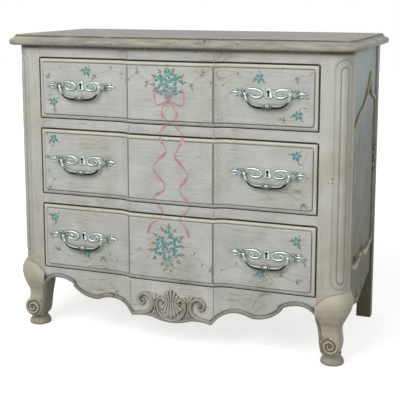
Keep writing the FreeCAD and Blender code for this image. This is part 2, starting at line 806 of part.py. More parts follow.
def make_lobe(name, angle, radius, length):
    """A round lobe that grows outward from the shell's waist, turned from straight up."""
    start = "Sizes.shell_stem_start"
    waist = "Sizes.apron_top - Sizes.shell_waist"
    face = f"{FRONT} - Sizes.centre_projection - Sizes.centre_crown / 2"
    across = math.sin(math.radians(angle))
    up = math.cos(math.radians(angle))
    lobe = document.addObject("Part::Cone", name)
    lobe.setExpression("Radius1", "Sizes.shell_stem_radius")
    lobe.setExpression("Radius2", radius)
    lobe.setExpression("Height", f"{length} - {start}")
    lobe.Placement = FreeCAD.Placement(FreeCAD.Vector(), FreeCAD.Rotation(FreeCAD.Vector(0, 1, 0), angle))
    place(lobe, f"{start} * {across}", face, f"{waist} + {start} * {up}")
    tip = document.addObject("Part::Sphere", f"{name}_tip")
    tip.setExpression("Radius", f"{radius} * 1.04")
    place(tip, f"{length} * {across}", face, f"{waist} + {length} * {up}")
    return [lobe, tip]


def make_carving(apron):
    """Shell with lobes below its waist and leaves above, between two scrolls, seated on the apron."""
    pieces = []
    fans = (("Lobe", SHELL_LOBES, LOBE_FAN, 180, "Sizes.shell_lobe_radius", "Sizes.shell_lobe_length"),
            ("Leaf", SHELL_LEAVES, LEAF_FAN, 0, "Sizes.shell_leaf_radius", "Sizes.shell_leaf_length"))
    for name, count, fan, heading, radius, length in fans:
        for number in range(count):
            share = number / (count - 1) - 0.5
            shorter = 1 - 0.3 * (2 * share) ** 2
            pieces += make_lobe(f"{name}{number}", heading + share * fan, radius, f"{length} * {shorter}")
    button = document.addObject("Part::Sphere", "ShellButton")
    button.setExpression("Radius", "Sizes.shell_button")
    pieces.append(place(button, y=f"{FRONT} - Sizes.centre_projection - Sizes.centre_crown / 2",
                        z="Sizes.apron_top - Sizes.shell_waist"))
    shell = fuse("Shell", pieces)

    scroll = new_body("Scroll")
    height = "Sizes.apron_top - Sizes.scroll_drop"
    face = "Sizes.centre_projection + Sizes.centre_crown + Sizes.scroll_rise"
    disc = new_sketch(scroll, "ScrollDisc", "XZ_Plane", face)
    ring(disc, "Sizes.scroll_offset", height, "Sizes.scroll_radius")
    pad(scroll, disc, "Sizes.centre_crown + Sizes.scroll_rise", away=True)
    groove = draw(scroll, "ScrollGroove", "XZ_Plane",
                  spiral_groove("Sizes.scroll_offset", height, "Sizes.scroll_radius"), face)
    pocket(scroll, groove, "Sizes.volute_depth")
    place(scroll, y=FRONT)
    fellow = document.addObject("Part::Mirroring", "ScrollMirror")
    fellow.Source = scroll
    fellow.Normal = (1, 0, 0)
    raised = []
    for name, piece in (("Shell", shell), ("RightScroll", scroll), ("LeftScroll", fellow)):
        raised.append(combine("Cut", f"{name}Seated", piece, apron))
    keep(group("Carving", raised), "apron_carving")


def make_runners():
    """Runners with a guide beside and a stop behind each drawer, and glue blocks under the top."""
    inner = f"({OPENING_EDGE} - Sizes.runner_reach)"
    guide = f"({BOX_EDGE} + Sizes.guide_clearance)"
    runners = []
    for name, (opening, foot) in DRAWERS.items():
        runner = new_body(f"Runner_{name}")
        section = draw(runner, f"RunnerSection_{name}", "XZ_Plane", [
            (inner, "-Sizes.runner_height"),
            (SIDE_INNER, "-Sizes.runner_height"),
            (SIDE_INNER, "Sizes.guide_height"),
            (guide, "Sizes.guide_height"),
            (guide, "0"),
            (inner, "0"),
        ], "-Sizes.post_depth")
        pad(runner, section, f"{REAR_POST_FACE} - Sizes.post_depth", away=True)
        stop = draw(runner, f"RunnerStop_{name}", "XZ_Plane", [
            (inner, "-Sizes.runner_height"),
            (guide, "-Sizes.runner_height"),
            (guide, "Sizes.stop_height"),
            (inner, "Sizes.stop_height"),
        ], f"-{REAR_POST_FACE}")
        pad(runner, stop, "Sizes.stop_thickness")
        runners.append(place(runner, y=FRONT, z=foot))
    right = keep(group("RightRunners", runners), "right_drawer_runners")
    mirrored(right, "left_drawer_runners")

    blocks = []
    block_foot = f"{CASE_TOP} - Sizes.block_height"
    middle = f"(Sizes.post_depth + {REAR_POST_FACE}) / 2"
    for side in (-1, 1):
        for end in (-1, 1):
            low_x = SIDE_INNER + " - Sizes.block_width" if side > 0 else f"-{SIDE_INNER}"
            low_y = f"{FRONT} + {middle} + {end} * Sizes.block_length - Sizes.block_length / 2"
            blocks.append(box(f"Block{side + 1}{end + 1}", (low_x, low_y, block_foot),
                              (f"{low_x} + Sizes.block_width", f"{low_y} + Sizes.block_length", CASE_TOP)))
    keep(group("Blocks", blocks), "top_glue_blocks")


def make_drawer(name, opening, foot):
    """Drawer: a moulded front with a raised field, and a box that rides on the runners."""
    height = f"({opening} - 2 * Sizes.front_gap)"
    front = new_body(f"Front_{name}")
    edge = f"({OPENING_EDGE} - Sizes.front_gap)"
    slab_plan = break_front(edge, "Sizes.border_rise", "Sizes.front_thickness")
    slab = draw(front, f"Slab_{name}", "XY_Plane", slab_plan, "Sizes.front_gap")
    pad(front, slab, height)
    field_edge = f"({edge} - Sizes.border_width)"
    field_plan = break_front(field_edge, FIELD_FACE, "Sizes.front_thickness / 2")
    field = draw(front, f"Field_{name}", "XY_Plane", field_plan, "Sizes.front_gap + Sizes.border_width")
    pad(front, field, f"{height} - 2 * Sizes.border_width")
    rise = value("Sizes.field_rise")

    def at_corner(edge):
        along_y = edge.BoundBox.XLength < 0.01 and edge.BoundBox.ZLength < 0.01
        return along_y and abs(edge.Length - rise) < 0.01

    round_edges(front, f"FieldCorners_{name}", "Sizes.field_corner", at_corner)
    holes = new_sketch(front, f"StudHoles_{name}", "XZ_Plane", "-Sizes.front_thickness")
    for pull in (-1, 1):
        for end in (-1, 1):
            ring(holes, f"{pull} * {PULL_X} + {end} * Sizes.post_spacing / 2",
                 f"{opening} / 2 + Sizes.pull_lift", "Sizes.stud_radius + Sizes.stud_clearance")
    drilled = front.newObject("PartDesign::Pocket", f"Drilled_{name}")
    drilled.Profile = holes
    drilled.setExpression("Length", "2 * Sizes.front_thickness")
    drilled.Reversed = True
    document.recompute()
    place(front, y=FRONT, z=foot)
    keep(front, f"{name}_drawer_front")

    start = f"{FRONT} + Sizes.front_thickness"
    rear = f"{FRONT} + {BOX_REAR}"
    low = f"{foot} + Sizes.run_clearance"
    high = f"{foot} + {opening} - Sizes.box_headroom"
    side = box(f"Side_{name}", (BOX_INNER, start, low), (BOX_EDGE, rear, high))
    keep(side, f"{name}_drawer_right_side")
    mirrored(side, f"{name}_drawer_left_side")
    bottom_foot = f"{low} + Sizes.bottom_lift"
    bottom_top = f"{bottom_foot} + Sizes.bottom_thickness"
    bottom = box(f"Bottom_{name}", (f"-{BOX_INNER}", start, bottom_foot), (BOX_INNER, rear, bottom_top))
    keep(bottom, f"{name}_drawer_bottom")
    back = box(f"Back_{name}", (f"-{BOX_INNER}", f"{rear} - Sizes.box_thickness", bottom_top),
               (BOX_INNER, rear, high))
    keep(back, f"{name}_drawer_back")


def plate_outline():
    """Backplate outline: shield, scroll lobes, necks, rosettes and leaf tips, the same all four ways."""
    half = "(Sizes.plate_height / 2)"
    neck = "(Sizes.neck_height / 2)"
    post = "(Sizes.post_spacing / 2)"
    lower = [
        ("Sizes.shield_half_width", f"-{half}"),
        ("Sizes.shield_half_width", f"-{half} * 0.75", bow(f"-{half} * 0.35")),
        ("Sizes.lobe_end", f"-{neck}"),
        (f"{post} - Sizes.rosette_half_width", f"-{neck}", bow(f"-{neck}")),
        (f"{post} + Sizes.rosette_half_width", f"-{neck}", bow(f"-{neck} / 3")),
    ]
    right = fold(lower, "Y", tip=("Sizes.plate_length / 2", "0"))
    left = [(f"-({x})", f"-({y})", *shape) for x, y, *shape in right]
    return right + left


def make_bail():
    """Bail: two arms with pivot pins, round corners and a bar with a ringed knuckle, hung from its pivots."""
    wire = "Sizes.bail_radius"
    turn = "Sizes.bail_bend"
    low = "-Sizes.bail_drop"
    corner = f"({BAIL_ARM} - {turn})"
    along = FreeCAD.Rotation(FreeCAD.Vector(0, 1, 0), 90)
    parts = [cylinder("BailBar", wire, f"2 * {corner}", (f"-{corner}", "0", low), "X")]
    for end in (-1, 1):
        arm = f"{end} * {BAIL_ARM}"
        parts.append(cylinder(f"BailArm{end + 1}", wire, f"Sizes.bail_drop - {turn}", (arm, "0", "0"), "-Z"))
        elbow = document.addObject("Part::Torus", f"BailElbow{end + 1}")
        elbow.setExpression("Radius1", turn)
        elbow.setExpression("Radius2", wire)
        elbow.Angle3 = 90
        upright = FreeCAD.Rotation(FreeCAD.Vector(1, 0, 0), 90)
        quarter = FreeCAD.Rotation(FreeCAD.Vector(0, 1, 0), 90 if end > 0 else 180)
        elbow.Placement = FreeCAD.Placement(FreeCAD.Vector(), quarter * upright)
        parts.append(place(elbow, f"{end} * {corner}", "0", f"{low} + {turn}"))
        cap = document.addObject("Part::Sphere", f"BailCap{end + 1}")
        cap.setExpression("Radius", "Sizes.bail_eye_radius")
        parts.append(place(cap, arm))
        length = "Sizes.bail_eye_radius + Sizes.pivot_depth"
        begin = arm if end > 0 else f"{arm} - ({length})"
        parts.append(cylinder(f"BailPin{end + 1}", "Sizes.pivot_radius", length, (begin, "0", "0"), "X"))
        knot = document.addObject("Part::Torus", f"BailRing{end + 1}")
        knot.setExpression("Radius1", wire)
        knot.setExpression("Radius2", "Sizes.knuckle_ring")
        knot.Placement = FreeCAD.Placement(FreeCAD.Vector(), along)
        parts.append(place(knot, f"{end} * Sizes.knuckle_spacing", "0", low))
    knuckle = document.addObject("Part::Sphere", "BailKnuckle")
    knuckle.Placement = FreeCAD.Placement(FreeCAD.Vector(), along)
    knuckle.setExpression("Radius", "Sizes.knuckle_radius")
    parts.append(place(knuckle, "0", "0", low))
    return fuse("Bail", parts)


def make_pulls():
    """Pulls: a backplate with a keyhole, two posts with studs, a bail between them, and nuts inside."""
    plate = new_body("Plate")
    face = draw(plate, "PlateFace", "XZ_Plane", plate_outline())
    pad(plate, face, "Sizes.plate_thickness")
    openings = new_sketch(plate, "PlateOpenings", "XZ_Plane")
    keyhole_head = "Sizes.keyhole_height / 2"
    trace(openings, capsule("Sizes.keyhole_width / 2", f"-{keyhole_head}", keyhole_head))
    for end in (-1, 1):
        ring(openings, f"{end} * Sizes.post_spacing / 2", "0", "Sizes.stud_radius + Sizes.stud_clearance")
    pocket(plate, openings, "Sizes.plate_thickness", away=True)

    behind = "(Sizes.front_thickness + Sizes.nut_thickness + Sizes.stud_end)"
    posts = []
    for end in (-1, 1):
        at = f"{end} * Sizes.post_spacing / 2"
        length = f"{behind} + {PLATE_FACE}"
        stud = cylinder(f"Stud{end + 1}", "Sizes.stud_radius", length, (at, behind, "0"), "-Y")
        boss = cylinder(f"Boss{end + 1}", "Sizes.boss_radius", "Sizes.boss_length",
                        (at, f"-{PLATE_FACE}", "0"), "-Y")
        mouth = "Sizes.boss_radius" if end < 0 else "-Sizes.boss_radius"
        bottom = f"{at} + {mouth}" if end > 0 else f"{at} + {mouth} - Sizes.pivot_depth"
        hole = cylinder(f"PivotHole{end + 1}", "Sizes.pivot_radius + Sizes.pivot_clearance",
                        "Sizes.pivot_depth", (bottom, f"-{PIVOT_FACE}", "0"), "X")
        posts.append(combine("Cut", f"PullPost{end + 1}", fuse(f"PostBlank{end + 1}", [stud, boss]), hole))
    pair = group("PullPosts", posts)

    bail = make_bail()
    for name, (opening, foot) in DRAWERS.items():
        lift = f"{foot} + {opening} / 2 + Sizes.pull_lift"
        nuts = []
        for hand, side in (("left", -1), ("right", 1)):
            at = f"{side} * {PULL_X}"
            for piece, label, y in ((plate, "backplate", f"{FRONT} - {FIELD_FACE}"),
                                    (pair, "pull_posts", FRONT),
                                    (bail, "bail", f"{FRONT} - {PIVOT_FACE}")):
                copy = place(group(f"{name}_{hand}_{label}_copy", [piece]), at, y, lift)
                keep(copy, f"{name}_{hand}_{label}")
            for end in (-1, 1):
                start = (f"{at} + {end} * Sizes.post_spacing / 2",
                         f"{FRONT} + Sizes.front_thickness + Sizes.nut_thickness", lift)
                nut = f"{name}_{hand}{end + 1}"
                blank = cylinder(f"Nut_{nut}", "Sizes.nut_radius", "Sizes.nut_thickness", start, "-Y")
                bore = cylinder(f"Bore_{nut}", "Sizes.stud_radius + Sizes.stud_clearance / 4",
                                "Sizes.nut_thickness", start, "-Y")
                nuts.append(combine("Cut", f"NutCut_{nut}", blank, bore))
        keep(group(f"Nuts_{name}", nuts), f"{name}_drawer_nuts")


make_top()
make_posts()
make_legs()
make_sides()
make_back()
make_rails()
make_carving(make_apron())
make_runners()
for drawer_name, (drawer_opening, drawer_foot) in DRAWERS.items():
    make_drawer(drawer_name, drawer_opening, drawer_foot)
make_pulls()
document.recompute()

faults = [item.Name for item in document.Objects if "Invalid" in item.State or "Error" in item.State]
for piece in subparts:
    if piece.Shape.isNull() or not piece.Shape.isValid() or not piece.Shape.Solids:
        faults.append(piece.Label)
if faults:
    raise RuntimeError(f"not sound: {', '.join(faults)}")

os.makedirs("parts", exist_ok=True)
for piece in subparts:
    piece.Shape.exportStep(f"parts/{piece.Label}.step")
print(f"{len(subparts)} sub-parts written")
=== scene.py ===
import json
import math

import bmesh
import bpy
from mathutils import Matrix, Vector


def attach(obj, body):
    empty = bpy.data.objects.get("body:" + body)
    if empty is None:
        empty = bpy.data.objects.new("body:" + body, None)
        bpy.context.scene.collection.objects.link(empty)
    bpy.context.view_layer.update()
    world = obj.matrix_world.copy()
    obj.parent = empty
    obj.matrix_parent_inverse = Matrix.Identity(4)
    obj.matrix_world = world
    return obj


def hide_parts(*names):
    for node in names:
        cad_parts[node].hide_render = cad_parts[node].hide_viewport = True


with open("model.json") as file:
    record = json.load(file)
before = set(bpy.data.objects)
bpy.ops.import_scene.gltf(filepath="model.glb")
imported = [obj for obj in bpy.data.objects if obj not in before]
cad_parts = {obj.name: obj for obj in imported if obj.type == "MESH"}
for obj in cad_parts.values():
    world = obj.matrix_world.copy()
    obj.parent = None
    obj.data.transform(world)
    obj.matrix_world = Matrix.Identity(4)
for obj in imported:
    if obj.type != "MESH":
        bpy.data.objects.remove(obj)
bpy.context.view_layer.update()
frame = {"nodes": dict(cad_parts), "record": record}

MM = 0.001
HANDS = (("left", -1), ("right", 1))
nodes = frame["nodes"]

# Main lines of the chest in millimetres
FRONT = -203.5
HALF_OPENING = 405.0
COVE_FOOT = 166.0
CREASE = 124.0
CENTRE_PROJECTION = 13.0
CENTRE_CROWN = 2.0
FRONT_GAP = 2.5
FRONT_THICKNESS = 22.0
FIELD_RISE = 7.0
DRAWERS = {"lower": (186.0, 379.0), "middle": (407.0, 599.0), "upper": (627.0, 801.0)}
PULL_HEIGHTS = {"lower": 292.5, "middle": 513.0, "upper": 724.0}
PULL_OFFSET = 271.5
# Edges of the boards are eased by this much, and points closer than the next are one
EDGE_EASE = 0.8
SAME_POINT = 0.0005
# Dark glaze and painted shade at the foot of a carved strand
FOOT_GLAZE_AND_SHADE = 0.9


def linear(code):
    """Linear colour of an sRGB hex value."""
    channels = [int(code[at:at + 2], 16) / 255 for at in (1, 3, 5)]
    return [c / 12.92 if c <= 0.04045 else ((c + 0.055) / 1.055) ** 2.4 for c in channels] + [1.0]


def add(tree, kind, options=None, sockets=None):
    """Add one node: options are its own settings, sockets are values or links for its inputs."""
    node = tree.nodes.new(kind)
    for name, setting in (options or {}).items():
        setattr(node, name, setting)
    for name, setting in (sockets or {}).items():
        if isinstance(setting, bpy.types.NodeSocket):
            tree.links.new(setting, node.inputs[name])
        else:
            node.inputs[name].default_value = setting
    return node


def empty_tree(owner):
    """Node tree of a material or of the world, cleared."""
    owner.use_nodes = True
    owner.node_tree.nodes.clear()
    return owner.node_tree


def new_finish(name):
    """An empty material with its principled shader, and the place of each point on its own piece."""
    material = bpy.data.materials.new(name)
    tree = empty_tree(material)
    shader = add(tree, "ShaderNodeBsdfPrincipled")
    add(tree, "ShaderNodeOutputMaterial", {}, {"Surface": shader.outputs["BSDF"]})
    return material, tree, shader, add(tree, "ShaderNodeTexCoord").outputs["Object"]


def noise(tree, place, size, **sockets):
    """Noise with features of one size, or of a size along each axis, in metres."""
    if isinstance(size, float):
        sockets["Scale"] = 1 / size
    else:
        place = add(tree, "ShaderNodeMapping", {}, {"Vector": place, "Scale": [1 / s for s in size]}).outputs["Vector"]
        sockets["Scale"] = 1.0
    return add(tree, "ShaderNodeTexNoise", {}, {"Vector": place, **sockets}).outputs["Fac"]


def drawn_out(fine, long, along):
    """Size of a feature that is fine across the board and long along it."""
    return [long if axis == along else fine for axis in "XYZ"]


def ramp(tree, value, start, end, low=0.0, high=1.0, kind="LINEAR"):
    """Low up to the start of a range, high from its end on."""
    return add(tree, "ShaderNodeMapRange", {"interpolation_type": kind}, {
        "Value": value, "From Min": start, "From Max": end, "To Min": low, "To Max": high}).outputs["Result"]


def reckon(tree, operation, *values):
    """One sum over numbers or links."""
    return add(tree, "ShaderNodeMath", {"operation": operation}, dict(enumerate(values))).outputs[0]


def over(tree, amount, under, upper, kind="MIX"):
    """An upper colour laid over another by some amount."""
    return add(tree, "ShaderNodeMix", {"data_type": "RGBA", "blend_type": kind}, {
        0: amount, 6: under, 7: upper}).outputs[2]


def layer(tree, name):
    """A layer that a mesh carries at each of its points."""
    return add(tree, "ShaderNodeAttribute", {"attribute_name": name}).outputs["Fac"]


def hollows(tree, reach, samples):
    """How open a place is, judged over a short reach."""
    return add(tree, "ShaderNodeAmbientOcclusion", {"samples": samples}, {"Distance": reach}).outputs["AO"]


def roughen(tree, shader, height, strength, deep):
    """Fine relief of a skin."""
    skin = add(tree, "ShaderNodeBump", {}, {"Height": height, "Strength": strength, "Distance": deep})
    tree.links.new(skin.outputs["Normal"], shader.inputs["Normal"])


def painted_wood(name, coat, shade, glaze, worn, along, flecks=0.0, foot_darkening=0.0, nose=None, figure=0.42,
                 yellow=0.0, hollow_glaze_and_shade=0.92, cool=0.0):
    """Brushed paint over hardwood, glazed brown and painted with shade in the hollows, rubbed pale on the edges, darker
    at the foot.
    """
    material, tree, shader, place = new_finish(name)
    height = add(tree, "ShaderNodeSeparateXYZ", {}, {"Vector": place}).outputs["Z"]

    # Brush streaks 3 mm wide and 160 mm long
    streak = noise(tree, place, drawn_out(0.003, 0.16, along), Detail=3.0, Roughness=0.6)
    # Clouds of thicker and thinner paint 70 mm across, and warmer patches 150 mm across
    cloud = noise(tree, place, 0.07, Detail=5.0, Roughness=0.6)
    ground = over(tree, ramp(tree, cloud, 0.36, 0.66), linear(coat), linear(shade))
    warm = noise(tree, place, 0.15, Detail=3.0)
    aged = over(tree, ramp(tree, warm, 0.48, 0.68, 0.0, 0.4), ground, linear("#EFE9CB"), "MULTIPLY")
    # Varnish yellowed toward the foot
    amber = ramp(tree, height, 0.55, 0.16, 0.0, yellow, "SMOOTHSTEP")
    yellowed = over(tree, amber, aged, linear("#E9E2C4"), "MULTIPLY")
    # Paler and bluer toward the top
    paler_top = ramp(tree, height, 0.56, 0.8, 0.0, cool, "SMOOTHSTEP")
    tinted = over(tree, paler_top, yellowed, linear("#BFD6D2"))
    brushed = add(tree, "ShaderNodeVectorMath", {"operation": "SCALE"}, {
        0: tinted, "Scale": ramp(tree, streak, 0.3, 0.7, 0.92, 1.07)}).outputs["Vector"]

    # Open grain: hair lines under 1 mm, drawn 1.6 mm wide so that they show, in patches 160 mm across
    grain = noise(tree, place, drawn_out(0.0016, 0.05, along), Detail=2.0)
    patch = noise(tree, place, 0.16, Detail=3.0)
    open_grain = reckon(tree, "MULTIPLY", ramp(tree, grain, 0.6, 0.68),
                        ramp(tree, patch, 0.44, 0.62, 0.12, 1.3 * figure))
    # Arched growth lines showing through: contours of a slow wave, only in some places
    wave = noise(tree, place, drawn_out(0.09, 0.45, along), Detail=1.0)
    contour = reckon(tree, "PINGPONG", reckon(tree, "MULTIPLY", wave, 34.0), 0.5)
    arches = reckon(tree, "MULTIPLY", ramp(tree, contour, 0.1, 0.02), ramp(tree, warm, 0.54, 0.64, 0.0, figure))
    lines = reckon(tree, "MAXIMUM", open_grain, arches)
    grained = over(tree, lines, brushed, linear(glaze))

    # Paint rubbed thin where an edge stands out
    soft = add(tree, "ShaderNodeBevel", {"samples": 6}, {"Radius": 0.003})
    turn = add(tree, "ShaderNodeVectorMath", {"operation": "DOT_PRODUCT"}, {
        0: soft.outputs["Normal"], 1: add(tree, "ShaderNodeNewGeometry").outputs["Normal"]}).outputs["Value"]
    # The layer adds the rubbed lips of the drawers, with a painted highlight on the lip above each field
    thin = reckon(tree, "MAXIMUM", ramp(tree, turn, 0.99, 0.85, 0.0, 0.85), layer(tree, "wear_and_highlight"))
    if nose:
        # Moulded nose of a board: rubbed to cream in patches 60 mm long, which also stand as painted highlights on the
        # nose
        cream_wear_and_highlight = ramp(tree, noise(tree, place, (0.06, 0.06, 0.012), Detail=4.0), 0.42, 0.66, 0.0, 0.45)
        below = reckon(tree, "LESS_THAN", height, nose)
        thin = reckon(tree, "MAXIMUM", thin, reckon(tree, "MULTIPLY", cream_wear_and_highlight, below))
    rubbed = over(tree, thin, grained, linear(worn))

    # Brown glaze and painted shade in the hollows, from an occlusion test 14 mm deep, and the glaze and painted shade
    # in the worked grooves, which each mesh carries as a layer
    glaze_and_shade_in_hollows = ramp(tree, hollows(tree, 0.014, 12), 0.78, 0.3, 0.0, hollow_glaze_and_shade)
    glaze_and_shade_mask = reckon(tree, "MAXIMUM", glaze_and_shade_in_hollows, layer(tree, "glaze"))
    if nose:
        # Dark line painted along the upper arris of the nose as the shade of a fine step, broken in places
        gap = reckon(tree, "ABSOLUTE", reckon(tree, "SUBTRACT", height, nose))
        arris_shade = reckon(tree, "MULTIPLY", ramp(tree, gap, 0.0026, 0.0012, 0.0, 0.85),
                       ramp(tree, cloud, 0.34, 0.5, 0.35))
        glaze_and_shade_mask = reckon(tree, "MAXIMUM", glaze_and_shade_mask, arris_shade)
        # Bruises down to the brown undercoat, 25 mm long and 4 mm high
        bare = ramp(tree, noise(tree, place, (0.025, 0.025, 0.004), Detail=2.0), 0.66, 0.72, 0.0, 0.75)
        rubbed = over(tree, reckon(tree, "MULTIPLY", bare, below), rubbed, linear("#7B5B40"))
    glazed_and_shaded = over(tree, glaze_and_shade_mask, rubbed, linear(glaze))

    # Darker and browner toward the floor
    low = ramp(tree, height, 0.76, 0.03, 0.0, foot_darkening, "SMOOTHSTEP")
    dirt = reckon(tree, "MULTIPLY", low, ramp(tree, cloud, 0.3, 0.6, 0.72))
    darker_low = over(tree, dirt, glazed_and_shaded, linear("#4E442F"))

    # Dents and chips down to the brown undercoat, 5 to 12 mm long, in groups 130 mm across
    chip = noise(tree, place, 0.011, Detail=3.0, Roughness=0.7)
    both = reckon(tree, "MULTIPLY", chip, noise(tree, place, 0.13, Detail=1.0))
    chipped = ramp(tree, both, 0.435 - flecks, 0.455 - flecks, 0.0, 0.85)
    tree.links.new(over(tree, chipped, darker_low, linear("#4A3F31")), shader.inputs["Base Color"])
    # Old paint has lost most of its gloss
    shader.inputs["Specular IOR Level"].default_value = 0.22
    tree.links.new(ramp(tree, streak, 0.3, 0.7, 0.38, 0.56), shader.inputs["Roughness"])
    roughen(tree, shader, reckon(tree, "SUBTRACT", streak, lines), 0.5, 0.0004)
    return material


def bare_timber(name, pale, dark, along):
    """Sawn and planed poplar left bare: straight grain, matt, a little dusty and with painted shade in the hollows."""
    material, tree, shader, place = new_finish(name)
    # Growth rings about 7 mm apart on the face, drawn out along the board
    ring = noise(tree, place, drawn_out(0.007, 0.12, along), Detail=5.0, Roughness=0.65, Distortion=0.6)
    board = over(tree, ramp(tree, ring, 0.3, 0.72), linear(pale), linear(dark))
    # Dust and painted shade in the hollows, from an occlusion test 30 mm deep
    dust_and_shade = ramp(tree, hollows(tree, 0.03, 8), 0.7, 0.2, 0.0, 0.6)
    tree.links.new(over(tree, dust_and_shade, board, linear("#4A3C2C")), shader.inputs["Base Color"])
    shader.inputs["Roughness"].default_value = 0.68
    roughen(tree, shader, ring, 0.4, 0.0005)
    return material


def cast_metal(name, bright, patina, roughness, reach):
    """Cast white metal, darkened and rubbed back: bright on the crests, near black in the hollows."""
    material, tree, shader, place = new_finish(name)
    spot = noise(tree, place, 0.012, Detail=3.0)
    uneven = reckon(tree, "MULTIPLY_ADD", spot, 0.5, hollows(tree, reach, 12))
    # Patina from an occlusion test, and the mesh's own layer, which on the bails also holds painted shade under the
    # grip
    tarnish = reckon(tree, "MAXIMUM", ramp(tree, uneven, 0.98, 0.62, 0.0, 0.95), layer(tree, "glaze"))
    tree.links.new(over(tree, tarnish, linear(bright), linear(patina)), shader.inputs["Base Color"])
    shader.inputs["Metallic"].default_value = 1.0
    tree.links.new(ramp(tree, tarnish, 0.0, 1.0, roughness, roughness + 0.25), shader.inputs["Roughness"])
    # Skin of the casting, 2 mm grain
    roughen(tree, shader, noise(tree, place, 0.002, Detail=3.0), 0.3, 0.0003)
    return material


def brush_colour(name, deep, pale):
    """Artist's colour in thin strokes: uneven where the brush ran dry."""
    material, tree, shader, place = new_finish(name)
    # Strokes 4 mm wide
    laid = noise(tree, place, 0.004, Detail=3.0, Roughness=0.6)
    tree.links.new(over(tree, ramp(tree, laid, 0.36, 0.64), linear(deep), linear(pale)), shader.inputs["Base Color"])
    shader.inputs["Roughness"].default_value = 0.5
    roughen(tree, shader, laid, 0.4, 0.0003)
    return material


# Warm grey paint of the drawers, rails and apron: streaked along the boards
FRONT_PAINT = painted_wood("grey_paint_on_drawers", "#B9BAB6", "#ABACA8", "#423C2F", "#D3CCAC", "X", flecks=-0.012)
# The same paint on the upright front posts, streaked upright
POST_PAINT = painted_wood("grey_paint_on_posts", "#BBBBB5", "#B0AFA8", "#565039", "#CBC7B4", "Z",
                          flecks=-0.018, foot_darkening=0.1, figure=0.16, yellow=0.34)
# Duller and darker paint on the top, with more rubbing along its edge
TOP_PAINT = painted_wood("dull_paint_on_top", "#908F8D", "#84827E", "#453E31", "#BFB996", "X",
                         flecks=0.005, nose=0.8605)
# Cool blue grey on the sides and back posts, more knocked about and darker toward the floor
SIDE_PAINT = painted_wood("blue_grey_paint_on_sides", "#8B9593", "#7B817D", "#39332A", "#A2957A", "Z",
                          flecks=0.026, foot_darkening=0.6, yellow=0.9, cool=0.5)
# The posts' paint gone yellower on the legs, with more glaze
LEG_PAINT = painted_wood("yellowed_paint_on_legs", "#C0BEB5", "#B4B1A6", "#48412F", "#C4BFA8", "Z",
                         flecks=-0.01, foot_darkening=0.1, figure=0.2, yellow=0.5)
# Scuffed paint on the pads, darkest at the floor
PAD_PAINT = painted_wood("scuffed_paint_on_pads", "#ADA998", "#9C9784", "#453E2C", "#B9B39A", "Z", foot_darkening=0.25)
# Drawers' paint on the carving, with glaze and painted shade kept in every hollow
CARVING_PAINT = painted_wood("glazed_paint_on_carving", "#B3B1A6", "#A3A196", "#3F3A2E", "#C6C2B0", "X")
# Grey blue paint on the beads along the apron and down the legs, with glaze and painted shade beside the bead
BEAD_PAINT = painted_wood("grey_paint_on_edge_beads", "#9E9F97", "#8C8C83", "#39352B", "#BDBBAE", "X")
# Side mouldings knocked down to their brown undercoat, with dark chips
MOULDING_PAINT = painted_wood("worn_paint_on_side_mouldings", "#A8A48E", "#8D8771", "#2E2519", "#A9886A", "Z",
                              flecks=0.06, foot_darkening=0.25, yellow=0.5, hollow_glaze_and_shade=0.45)
# Scallops rubbed nearly through: pale where hands and furniture brush past
SCALLOP_PAINT = painted_wood("rubbed_paint_on_scallops", "#C2BCA2", "#ADA68C", "#3A3124", "#CBC4AA", "Y")
# Drawer boxes, runners and glue blocks of plain poplar
BARE_WOOD = bare_timber("planed_poplar", "#C3A77E", "#A88A60", "Y")
# Old wood laid bare by a knock: brown and dirty; also the dark patches at the foot of the side mouldings
CHIPPED_WOOD = bare_timber("bare_wood_in_chips_and_dark_patches", "#33291C", "#1C1710", "Y")
# Plywood of the back, darkened with age
BACK_BOARD = bare_timber("plain_plywood_back", "#A98F6B", "#8D7452", "Z")
# Cast plates and bails, rubbed bright
PULL_METAL = cast_metal("rubbed_white_metal", "#C6D1CD", "#181714", roughness=0.32, reach=0.005)
# The posts of the pulls kept more of their tarnish
POST_METAL = cast_metal("tarnished_white_metal", "#98A39F", "#181714", roughness=0.4, reach=0.005)
# Zinc plated nuts inside the drawers
FIXING_STEEL = cast_metal("zinc_plated_steel", "#B8B9B6", "#4A4A48", roughness=0.38, reach=0.004)
FINISHES = {"top_paint": TOP_PAINT, "front_paint": FRONT_PAINT, "post_paint": POST_PAINT,
            "side_paint": SIDE_PAINT, "leg_paint": LEG_PAINT, "bare_wood": BARE_WOOD,
            "back_board": BACK_BOARD, "pull_metal": PULL_METAL, "fixing_steel": FIXING_STEEL}
# Finish that the frame names for each node
SLOTS = {part["node"]: part["material_slot"] for part in frame["record"]["subparts"]}


def dress(name):
    """Give a node of the frame its finish and, unless it is a steel fixing, a softened edge."""
    slot = SLOTS[name]
    piece = nodes[name]
    piece.data.materials.clear()
    piece.data.materials.append(FINISHES[slot])
    weld = piece.modifiers.new("weld", "WELD")
    weld.merge_threshold = 0.01 * MM
    if slot != "fixing_steel":
        soft = piece.modifiers.new("ease", "BEVEL")
        soft.width = EDGE_EASE * MM
        soft.segments = 2
        soft.limit_method = "ANGLE"
        soft.angle_limit = math.radians(40)
        soft.use_clamp_overlap = True


def front_line(x):
    """Depth of the broken front at a place along it, from the face of the posts."""
    x = abs(x)
    if x >= COVE_FOOT:
        return 0.0
    if x >= CREASE:
        run = COVE_FOOT - CREASE
        radius = (run * run + CENTRE_PROJECTION ** 2) / (2 * CENTRE_PROJECTION)
        return -radius + math.sqrt(radius ** 2 - (COVE_FOOT - x) ** 2)
    return -CENTRE_PROJECTION - CENTRE_CROWN * (1 - (x / CREASE) ** 2)


def mesh_of(bm, name):
    """Mesh of the scene made from a drawn one."""
    mesh = bpy.data.meshes.new(name)
    bm.to_mesh(mesh)
    bm.free()
    return mesh


def bring_in(name, data):
    """A new object in the scene."""
    piece = bpy.data.objects.new(name, data)
    bpy.context.scene.collection.objects.link(piece)
    return piece


